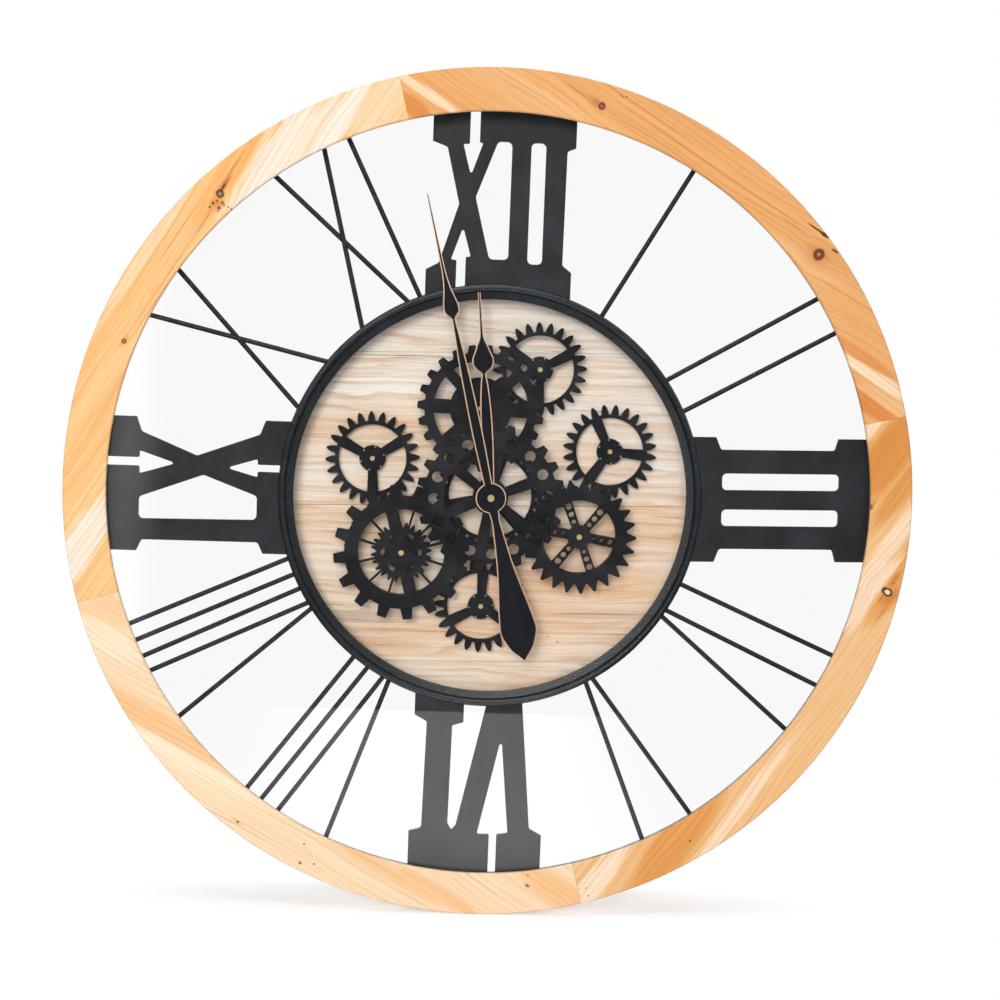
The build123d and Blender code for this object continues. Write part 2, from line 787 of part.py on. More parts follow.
def transfer_gear(phase, place):
    rim = mesh_outline(transfer_teeth, phase, place) - Pos(*place) * Circle(transfer_rim_inner)
    spokes = spoke_outlines(transfer_spoke_count, arbor_radius, transfer_rim_inner + raised_height,
                            transfer_spoke_width, transfer_spoke_width, phase, place)
    gear = slab(spoked(rim, spokes, transfer_hub_radius, place), transfer_back, transfer_front)
    return gear - bore(arbor_radius, place)


# Gear motor on the rear cover, with the pinion that turns the right transfer gear
motor_width = 38.0
motor_height = 30.0
motor_corner = 2.0
motor_gap = 0.5
motor_shaft_engagement = 7.0
motor_front = transfer_back - motor_gap


def gear_motor():
    body = block(motor_width, motor_height, cover_front, motor_front, motor_place)
    body = fillet(body.edges().filter_by(Axis.Y), motor_corner)
    bore_back = motor_front - motor_shaft_engagement - moving_clearance
    return body - disc(arbor_radius + running_clearance, bore_back, motor_front, motor_place)


def motor_pinion():
    pinion = slab(mesh_outline(motor_teeth, motor_phase, motor_place), transfer_back, transfer_front)
    return pinion + disc(arbor_radius, motor_front - motor_shaft_engagement, transfer_back, motor_place)


# Dial: a plywood backing and whitewashed planks, bored for all that passes through them
plank_seam_shares = (0.695, -0.05, -0.82)
plank_gap = 0.3
plank_turn = 1.6


def dial_bored(board):
    board -= bore(movement_bush_radius + seat_clearance)
    for place in (left_place, bottom_place):
        board -= bore(outer_post_radius, place)
    for place in (upper_place, lower_left_place, lower_right_place):
        board -= bore(wheel_post_radius, place)
    for place, layer in turning_arbors.values():
        board -= bore(arbor_bush_radius, place)
    return board


def dial_backing():
    return dial_bored(disc(dial_radius, dial_back, plank_back))


def dial_planks():
    edges = [dial_radius] + [share * dial_radius for share in plank_seam_shares] + [-dial_radius]
    planks = []
    for top, bottom in zip(edges, edges[1:]):
        strip = Pos(0, (top + bottom) / 2) * Rectangle(2 * dial_radius, top - bottom - plank_gap)
        outline = (Rot(0, 0, plank_turn) * strip) & Circle(dial_radius)
        planks.append(dial_bored(slab(outline, plank_back, dial_front)))
    return planks


# Quartz movement: case with a battery trough and knob recess at its back, and a threaded bush
movement_side = 56.0
movement_corner = 3.0
arbor_bore_back = 6.0
hour_arbor_radius = 3.2
minute_arbor_radius = 1.75
cell_radius = 7.25
cell_length = 50.5
cell_button_radius = 2.75
cell_button_height = 1.5
trough_place = (0, 18.0)
trough_front = 15.6
contact_space = 1.6
cell_clearance = 0.1
knob_place = (0, -14.5)
knob_radius = 6.0
knob_back = 0.6
knob_depth = 2.2
knob_shaft_radius = 1.5
knob_shaft_length = 5.0
knob_recess_gap = 0.8
knob_notch_count = 18
knob_notch_radius = 0.5
knob_recess_front = knob_back + knob_depth + moving_clearance
nut_across_flats = 14.0
nut_sides = 6


def cell_trough():
    width = cell_length + 2 * contact_space
    height = 2 * (cell_radius + moving_clearance)
    return block(width, height, -cut_overrun, trough_front, trough_place)


def movement_case():
    case = block(movement_side, movement_side, 0, dial_back)
    case = fillet(case.edges().filter_by(Axis.Y), movement_corner)
    case -= cell_trough()
    case -= disc(knob_radius + knob_recess_gap, -cut_overrun, knob_recess_front, knob_place)
    case -= disc(knob_shaft_radius + running_clearance, -cut_overrun,
                 knob_recess_front + knob_shaft_length + moving_clearance, knob_place)
    case += disc(movement_bush_radius, dial_back, bush_front)
    return case - disc(hour_arbor_radius + running_clearance, arbor_bore_back, bush_front + cut_overrun)


def movement_nut():
    nut_front = layer_back(0) - moving_clearance
    hexagon = RegularPolygon(nut_across_flats / 2, nut_sides, major_radius=False)
    outline = hexagon - Circle(movement_bush_radius)
    return slab(outline, dial_front, nut_front)


def set_knob():
    knob = disc(knob_radius, knob_back, knob_back + knob_depth, knob_place)
    for place in around(knob_notch_count, knob_radius, 0, knob_place):
        knob -= bore(knob_notch_radius, place)
    shaft_front = knob_back + knob_depth + knob_shaft_length
    return knob + disc(knob_shaft_radius, knob_back + knob_depth, shaft_front, knob_place)


# Battery box of the motor, in a window of the rear cover, with a cover that slides in its grooves
box_place = (-70.0, -50.0)
box_wall = 1.2
box_rail_wall = 2.4
box_front_wall = 1.0
box_groove_depth = 1.2
box_rail_back = 0.3
box_rail_sheet = 0.5
box_slide_gap = 0.1
box_cover_thickness = 0.8
box_cells = 2
cell_pitch = 2 * cell_radius + moving_clearance
box_inner_width = cell_length + 2 * contact_space
box_inner_height = box_cells * cell_pitch + moving_clearance
box_outer_width = box_inner_width + 2 * box_wall
box_outer_height = box_inner_height + 2 * box_rail_wall
box_groove_back = box_rail_back + box_rail_sheet
box_groove_front = box_groove_back + box_cover_thickness + 2 * box_slide_gap
box_cavity_front = dial_back - box_front_wall
cover_grip_count = 5
cover_grip_pitch = 2.4
cover_grip_width = 1.0
cover_grip_depth = 0.4
cover_grip_place_share = -0.33


def battery_box():
    box = block(box_outer_width, box_outer_height, box_rail_back, dial_back, box_place)
    box -= block(box_inner_width, box_inner_height, box_rail_back - cut_overrun, box_cavity_front, box_place)
    groove_place = (box_place[0] - box_wall, box_place[1])
    groove_height = box_inner_height + 2 * box_groove_depth
    return box - block(box_outer_width, groove_height, box_groove_back, box_groove_front, groove_place)


def battery_cover():
    back = box_groove_back + box_slide_gap
    front = back + box_cover_thickness
    width = box_outer_width - box_wall - box_slide_gap
    height = box_inner_height + 2 * (box_groove_depth - box_slide_gap)
    centre = (box_place[0] - (box_wall + box_slide_gap) / 2, box_place[1])
    cover = block(width, height, back, front, centre)
    grip_front = back + cover_grip_depth
    for step in range(cover_grip_count):
        place = (centre[0] + cover_grip_place_share * width + step * cover_grip_pitch, centre[1])
        cover -= block(cover_grip_width, box_inner_height / 2, back - cut_overrun, grip_front, place)
    return cover


# Cells and their contacts: a plate at each end, and a conical spring on the plate at the flat end
contact_sheet = 0.4
contact_width = 9.0
spring_wire_radius = 0.25
spring_large_radius = 3.4
spring_pitch = 0.8
trough_cell_level = trough_front - cell_radius - cell_clearance
box_cell_level = box_cavity_front - cell_radius - cell_clearance
cell_seats = [(trough_place, trough_cell_level, 1)] + [
    ((box_place[0], box_place[1] + side * cell_pitch / 2), box_cell_level, side) for side in (1, -1)
]


def along_cell(place, level, side, distance):
    return Plane((place[0] + side * distance, -level, place[1]), z_dir=(side, 0, 0))


def battery_cells():
    cells = []
    for place, level, side in cell_seats:
        flat_end = along_cell(place, level, side, contact_space / 2 - cell_length / 2)
        body_length = cell_length - cell_button_height
        cell = extrude(flat_end * Circle(cell_radius), amount=body_length)
        cell += extrude(flat_end * Circle(cell_button_radius), amount=cell_length)
        cells.append(cell)
    return cells


def contact_plate(place, level, side, distance):
    plane = along_cell(place, level, side, distance)
    return extrude(plane * Rectangle(contact_width, contact_width), amount=contact_sheet)


def battery_contacts():
    contacts = []
    reach = cell_length / 2 + contact_space
    for place, level, side in cell_seats:
        contacts.append(contact_plate(place, level, side, reach - contact_sheet))
        spring_side = contact_plate(place, level, side, -reach)
        spring_start = along_cell(place, level, side, contact_sheet - reach)
        turns = contact_space + contact_space / 2 - contact_sheet - 2 * spring_wire_radius - running_clearance
        wire_path = Helix(spring_pitch, turns, spring_large_radius)
        profile = Plane(wire_path @ 0, z_dir=wire_path % 0) * Circle(spring_wire_radius)
        spring = sweep(profile, path=wire_path, is_frenet=True)
        contacts.append(spring_side + spring_start.offset(spring_wire_radius / 2).location * spring)
    return contacts


# Rear cover with its windows, keyhole and screws; the hanger plate stiffens the keyhole
window_clearance = 1.0
keyhole_setback = 30.6
keyhole_place = (0, drum_wall_inner - keyhole_setback)
keyhole_radius = 5.0
keyhole_slot_radius = 2.5
keyhole_slot_rise = 10.0
hanger_height = 26.0
hanger_sheet = 1.5
hanger_rise = 4.0
bumper_count = 4
bumper_radius = 8.0
bumper_setback = 18.6
bumper_circle = drum_wall_inner - bumper_setback
bumper_phase = 45.0


def keyhole():
    slot_top = (keyhole_place[0], keyhole_place[1] + keyhole_slot_rise)
    slot_middle = (keyhole_place[0], keyhole_place[1] + keyhole_slot_rise / 2)
    return [
        bore(keyhole_radius, keyhole_place),
        bore(keyhole_slot_radius, slot_top),
        block(2 * keyhole_slot_radius, keyhole_slot_rise, -cut_overrun, clock_depth, slot_middle),
    ]


def rear_cover():
    cover = disc(drum_wall_outer, cover_back, cover_front)
    movement_window = movement_side + 2 * window_clearance
    cover -= block(movement_window, movement_window, 0, dial_back)
    cover -= block(box_outer_width + 2 * window_clearance, box_outer_height + 2 * window_clearance, 0,
                   dial_back, box_place)
    for place in around(cover_screw_count, cover_screw_circle, cover_screw_phase):
        cover -= bore(cover_screw_radius + running_clearance, place)
    return cover - keyhole()


def hanger_plate():
    centre = (keyhole_place[0], keyhole_place[1] + hanger_rise)
    top = centre[1] + hanger_height / 2
    reach = drum_wall_inner - ledge_width - seat_clearance
    half_width = sqrt(reach * reach - top * top)
    plate = block(2 * half_width, hanger_height, cover_front, cover_front + hanger_sheet, centre)
    return plate - keyhole()


def wall_bumpers():
    places = around(bumper_count, bumper_circle, bumper_phase)
    return [disc(bumper_radius, 0, cover_back, place) for place in places]


def screw(place, radius, length, head_radius, head_height, seat):
    shank = disc(radius, seat, seat + length, place)
    return shank + disc(head_radius, seat - head_height, seat, place)


def rear_screws():
    frame = [screw(place, frame_screw_radius, frame_screw_length, frame_screw_head_radius,
                   frame_screw_head_height, frame_back)
             for place in around(frame_screw_count, frame_screw_circle)]
    cover = [screw(place, cover_screw_radius, cover_screw_length, cover_screw_head_radius,
                   cover_screw_head_height, cover_back)
             for place in around(cover_screw_count, cover_screw_circle, cover_screw_phase)]
    return frame + cover


# Hands: a copper-coloured sheet and a narrower black sheet on it. The first share runs along the
# length of a pointer or tail, and the second is its half width there over its greatest half width.
# Each table is a row of smooth runs that meet at a neck or at the widest place.
hand_copper_sheet = 0.7
hand_black_sheet = 0.5
hand_edge = 0.8
hand_inset_share = 0.45
hand_thickness = hand_copper_sheet + hand_black_sheet
hour_hand_gap = 0.9
minute_hand_gap = 1.2
hour_hand_back = bush_front + hour_hand_gap
minute_hand_back = hour_hand_back + hand_thickness + minute_hand_gap
minute_angle = 103.9
minute_length = 219.0
minute_half_width = 5.7
minute_hub_radius = 10.9
minute_tail_length = 119.5
minute_tail_half_width = 13.3
hour_angle = 95.4
hour_length = 146.0
hour_half_width = 7.65
hour_hub_radius = 9.5
minute_pointer_shares = [
    [(0.045, 0.54), (0.137, 0.63), (0.228, 0.675), (0.324, 0.63), (0.457, 0.49), (0.548, 0.315),
     (0.589, 0.228)],
    [(0.589, 0.228), (0.6, 0.456), (0.612, 0.86), (0.623, 1.0)],
    [(0.623, 1.0), (0.637, 0.965), (0.653, 0.833), (0.685, 0.535), (0.717, 0.35), (0.749, 0.254)],
    [(0.749, 0.254), (0.822, 0.184), (0.913, 0.123), (0.995, 0.079)],
    [(0.995, 0.079), (1.0, 0)],
]
minute_tail_shares = [
    [(0.05, 0.36), (0.126, 0.237), (0.251, 0.308), (0.418, 0.455), (0.586, 0.707), (0.753, 0.955),
     (0.795, 1.0)],
    [(0.795, 1.0), (0.837, 0.97), (0.879, 0.827), (0.921, 0.647), (0.962, 0.346), (1.0, 0)],
]
hour_pointer_shares = [
    [(0.041, 0.38), (0.205, 0.497), (0.342, 0.542), (0.411, 0.523), (0.479, 0.458), (0.548, 0.359),
     (0.596, 0.216)],
    [(0.596, 0.216), (0.61, 0.261), (0.623, 0.549), (0.644, 0.902), (0.664, 1.0)],
    [(0.664, 1.0), (0.685, 0.954), (0.712, 0.732), (0.74, 0.536), (0.774, 0.261), (0.808, 0.19),
     (0.856, 0.144)],
    [(0.856, 0.144), (1.0, 0.118)],
]


def blade_outline(length, half_width, shares, inset):
    edges = []
    for run in shares:
        side = [(length * along, max(half_width * across - inset, hand_inset_share * half_width * across))
                for along, across in run]
        mirror = [(along, -across) for along, across in side]
        kind = Spline if len(run) > 2 else Line
        edges += [kind(*side), kind(*mirror)]
    start = edges[0] @ 0
    edges.append(Line((start.X, -start.Y), start))
    end = edges[-3] @ 1
    if end.Y > 0:
        edges.append(Line(end, (end.X, -end.Y)))
    return make_face(edges)


def hand_layers(blades, hub_radius, angle, back):
    layers = []
    seam = back + hand_copper_sheet
    for inset, start, end in ((0, back, seam), (hand_edge, seam, back + hand_thickness)):
        outline = Circle(hub_radius - inset)
        for turn, length, half_width, shares in blades:
            outline += Rot(0, 0, turn) * blade_outline(length, half_width, shares, inset)
        layers.append(slab(Rot(0, 0, angle) * outline, start, end))
    return layers[0] + layers[1]


def minute_hand():
    blades = [(0, minute_length, minute_half_width, minute_pointer_shares),
              (180, minute_tail_length, minute_tail_half_width, minute_tail_shares)]
    hand = hand_layers(blades, minute_hub_radius, minute_angle, minute_hand_back)
    return hand - bore(arbor_thread_radius)


def hour_hand():
    blades = [(0, hour_length, hour_half_width, hour_pointer_shares)]
    hand = hand_layers(blades, hour_hub_radius, hour_angle, hour_hand_back)
    return hand - bore(hour_arbor_radius)


# Arbors of the hands, and the brass nut that holds the minute hand
arbor_thread_radius = 1.2
arbor_start = arbor_bore_back + moving_clearance
hand_nut_radius = 2.5
hand_nut_height = 2.2
hand_nut_flat = 0.4


def hour_arbor():
    return tube(hour_arbor_radius, minute_arbor_radius + running_clearance, arbor_start + moving_clearance,
                hour_hand_back + hand_thickness)


def minute_arbor():
    thread_front = minute_hand_back + hand_thickness + hand_nut_height - hand_nut_flat
    shaft = disc(minute_arbor_radius, arbor_start, minute_hand_back)
    return shaft + disc(arbor_thread_radius, minute_hand_back, thread_front)


def hand_nut():
    back = minute_hand_back + hand_thickness
    nut = disc(hand_nut_radius, back, back + hand_nut_height)
    nut = fillet(nut.faces().sort_by(Axis.Y)[0].edges(), hand_nut_flat)
    return nut - bore(arbor_thread_radius)


# Every piece by its name, and one STEP file for each
def clock_pieces():
    pieces = wood_segments()
    for name in rod_end_angle:
        pieces[name] = grouped(numeral_rods(name))
    for name in plate_angle:
        pieces[name] = numeral_plate(name)
    groups = [dial_planks, brass_posts, arbor_bushes, battery_contacts, wall_bumpers, rear_screws]
    for group in groups:
        pieces[group.__name__] = grouped(group())
    pieces["batteries"] = grouped(battery_cells())
    singles = [
        glass_cover, glass_hoop, frame_ring, drum_shell, dial_backing, rear_cover, hanger_plate,
        movement_case, movement_nut, set_knob, battery_box, battery_cover, gear_motor, motor_pinion,
        central_wheel, central_ring, central_drive_gear, upper_wheel, upper_pinion,
        lower_left_wheel, lower_left_drive_gear, lower_left_front_gear, lower_right_wheel,
        lower_right_drive_gear, minute_hand, minute_arbor, hour_hand, hour_arbor, hand_nut,
    ]
    for single in singles:
        pieces[single.__name__] = single()
    post_bore = outer_post_radius + running_clearance
    pieces["left_gear"] = outer_wheel("left", left_place, left_phase, 0, post_bore)
    pieces["bottom_gear"] = outer_wheel("bottom", bottom_place, bottom_phase, 0, post_bore)
    pieces["right_gear"] = outer_wheel("right", right_place, right_phase, 0, arbor_radius)
    pieces["top_gear"] = outer_wheel("top", top_place, top_phase, 1, arbor_radius)
    pieces["right_arbor"] = arbor("right")
    pieces["top_arbor"] = arbor("top")
    pieces["right_transfer_gear"] = transfer_gear(transfer_phase, right_place)
    pieces["top_transfer_gear"] = transfer_gear(top_transfer_phase, top_place)
    return pieces


os.makedirs("parts", exist_ok=True)
for piece_name, piece in clock_pieces().items():
    export_step(piece, f"parts/{piece_name}.step")
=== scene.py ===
from math import cos, pi, radians, sin
import bmesh
import bpy
from mathutils import Matrix, Vector


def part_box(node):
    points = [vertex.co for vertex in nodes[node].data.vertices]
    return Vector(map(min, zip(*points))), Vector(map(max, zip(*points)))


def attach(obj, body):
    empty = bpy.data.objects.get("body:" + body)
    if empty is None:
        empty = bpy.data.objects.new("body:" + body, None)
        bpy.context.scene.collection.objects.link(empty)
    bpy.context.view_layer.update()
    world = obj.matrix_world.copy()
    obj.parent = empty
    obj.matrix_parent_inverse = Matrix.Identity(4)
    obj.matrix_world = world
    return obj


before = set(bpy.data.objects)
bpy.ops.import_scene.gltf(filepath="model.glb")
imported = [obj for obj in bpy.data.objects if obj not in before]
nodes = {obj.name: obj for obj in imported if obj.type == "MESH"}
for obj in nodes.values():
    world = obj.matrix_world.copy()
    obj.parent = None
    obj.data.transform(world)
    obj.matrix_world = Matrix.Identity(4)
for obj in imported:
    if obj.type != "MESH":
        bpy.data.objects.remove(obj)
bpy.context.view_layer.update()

# Gear wall clock. Blender lengths are metres; the numbers below that say mm are turned into metres in
# the code, and a finish's x, y and z are mm. The front of the clock looks to -Y and +Z points to twelve.

mm = 0.001
print("frame loaded:", len(nodes), "nodes")


# Shader helpers

class Wire:              # one output socket of a shader, with the usual sums
    def __init__(self, finish, socket):
        self.finish = finish
        self.socket = socket

    def sum(self, operation, *values):
        return self.finish.add("ShaderNodeMath", {"operation": operation}, values)

    def __add__(self, other):
        return self.sum("ADD", self, other)

    def __sub__(self, other):
        return self.sum("SUBTRACT", self, other)

    def __rsub__(self, other):
        return self.sum("SUBTRACT", other, self)

    def __mul__(self, other):
        return self.sum("MULTIPLY", self, other)

    def __truediv__(self, other):
        return self.sum("DIVIDE", self, other)

    def __abs__(self):
        return self.sum("ABSOLUTE", self)

    def __or__(self, other):      # the larger of the two
        return self.sum("MAXIMUM", self, other)

    def __and__(self, other):     # the smaller of the two
        return self.sum("MINIMUM", self, other)

    def __gt__(self, other):
        return self.sum("GREATER_THAN", self, other)

    def __lt__(self, other):
        return self.sum("LESS_THAN", self, other)

    __radd__ = __add__
    __rmul__ = __mul__

    def power(self, exponent):
        return self.sum("POWER", self, exponent)

    def part(self):               # what is left past the whole number
        return self.sum("FRACT", self)

    def between(self, low, high, soft):      # 1 between two values
        return self.step(low - soft, low + soft) * (1.0 - self.step(high - soft, high + soft))

    def step(self, low, high):    # 0 below low, 1 above high, smooth between them
        settings = {"interpolation_type": "SMOOTHSTEP"}
        sockets = {"Value": self, "From Min": low, "From Max": high}
        return self.finish.add("ShaderNodeMapRange", settings, sockets)


class Finish:            # a material, or the world, and its nodes
    def __init__(self, name, owner=None):
        self.owner = owner or bpy.data.materials.new(name)
        self.owner.use_nodes = True
        self.tree = self.owner.node_tree
        self.tree.nodes.clear()

    def add(self, kind, settings=None, sockets=(), output=0):
        node = self.tree.nodes.new(kind)
        for name, value in (settings or {}).items():
            if name == "stops":
                ramp = node.color_ramp.elements
                while len(ramp) < len(value):
                    ramp.new(1.0)
                for stop, (place, colour) in zip(ramp, value):
                    stop.position = place
                    stop.color = (*colour, 1.0)
            else:
                setattr(node, name, value)
        pairs = sockets.items() if isinstance(sockets, dict) else enumerate(sockets)
        for name, value in pairs:
            if isinstance(value, Wire):
                self.tree.links.new(value.socket, node.inputs[name])
            elif value is not None:
                node.inputs[name].default_value = value
        return Wire(self, node.outputs[output]) if len(node.outputs) else node

    def place(self):              # where the point is on the clock at rest, in mm
        point = self.add("ShaderNodeTexCoord", output="Object")
        return self.add("ShaderNodeVectorMath", {"operation": "SCALE"}, {0: point, "Scale": 1.0 / mm})

    def apart(self, vector):      # the three numbers of a vector
        first = self.add("ShaderNodeSeparateXYZ", None, [vector])
        outputs = first.socket.node.outputs
        return [Wire(self, outputs[axis]) for axis in "XYZ"]

    def joined(self, x, y, z):
        return self.add("ShaderNodeCombineXYZ", None, [x, y, z])

    def noise(self, vector, scale=1.0, detail=3.0, rough=0.5):
        sockets = {"Vector": vector, "Scale": scale, "Detail": detail, "Roughness": rough}
        return self.add("ShaderNodeTexNoise", None, sockets)

    def awayFrom(self, place, x, y):  # the distance from (x, y) on a flat drawing
        return self.add("ShaderNodeVectorMath", {"operation": "DISTANCE"}, [place, (x, y, 0.0)], "Value")

    def tones(self, value, stops):
        return self.add("ShaderNodeValToRGB", {"stops": stops}, [value])

    def blend(self, mask, first, second):     # the second colour over the first where the mask is 1
        colours = [(*tone, 1.0) if isinstance(tone, tuple) else tone for tone in (first, second)]
        return self.add("ShaderNodeMix", {"data_type": "RGBA"}, {0: mask, 6: colours[0], 7: colours[1]}, 2)

    def bumps(self, height, depth, strength=1.0):     # depth in mm
        sockets = {"Height": height, "Distance": depth * mm, "Strength": strength}
        return self.add("ShaderNodeBump", None, sockets)

    def show(self, shader):
        self.add("ShaderNodeOutputMaterial", None, {"Surface": shader})
        return self.owner

    def paint(self, **sockets):   # a Principled shader; the socket names are in paintSockets
        chosen = {paintSockets[name]: value for name, value in sockets.items()}
        return self.show(self.add("ShaderNodeBsdfPrincipled", None, chosen))


paintSockets = {"baseColor": "Base Color", "metallic": "Metallic", "roughness": "Roughness",
                "gloss": "Specular IOR Level", "normal": "Normal"}
white = (1.0, 1.0, 1.0, 1.0)


def linear(code):                 # a screen colour such as "#e5a765" as shader numbers
    parts = [int(code[at:at + 2], 16) / 255 for at in (1, 3, 5)]
    return tuple(c / 12.92 if c <= 0.04045 else ((c + 0.055) / 1.055) ** 2.4 for c in parts)


def rayKinds(finish, *kinds):     # 1 for light rays of each kind, such as Is Glossy Ray
    outputs = finish.add("ShaderNodeLightPath").socket.node.outputs
    return [Wire(finish, outputs[kind]) for kind in kinds]


def dress(material, *names):
    for name in names:
        slots = nodes[name].data.materials
        slots.clear()
        slots.append(material)


# Camera

camera = {"place": (-0.0487, -1.3059, 0.1104), "right": (0.99844, -0.04048, 0.03836),
          "up": (-0.03459, 0.08986, 0.99535), "lens": 63.8}


def makeCamera():
    data = bpy.data.cameras.new("camera")
    data.sensor_fit = "HORIZONTAL"
    data.sensor_width = 36.0
    data.lens = camera["lens"]
    item = bpy.data.objects.new("camera", data)
    right = Vector(camera["right"]).normalized()
    up = Vector(camera["up"])
    back = right.cross(up).normalized()
    up = back.cross(right)
    turn = Matrix((right, up, back)).transposed().to_4x4()
    item.matrix_world = Matrix.Translation(camera["place"]) @ turn
    bpy.context.scene.collection.objects.link(item)
    bpy.context.scene.camera = item


makeCamera()
print("camera set")


# Wooden ring: each segment is its own board, with its own grain, tone patches and knots

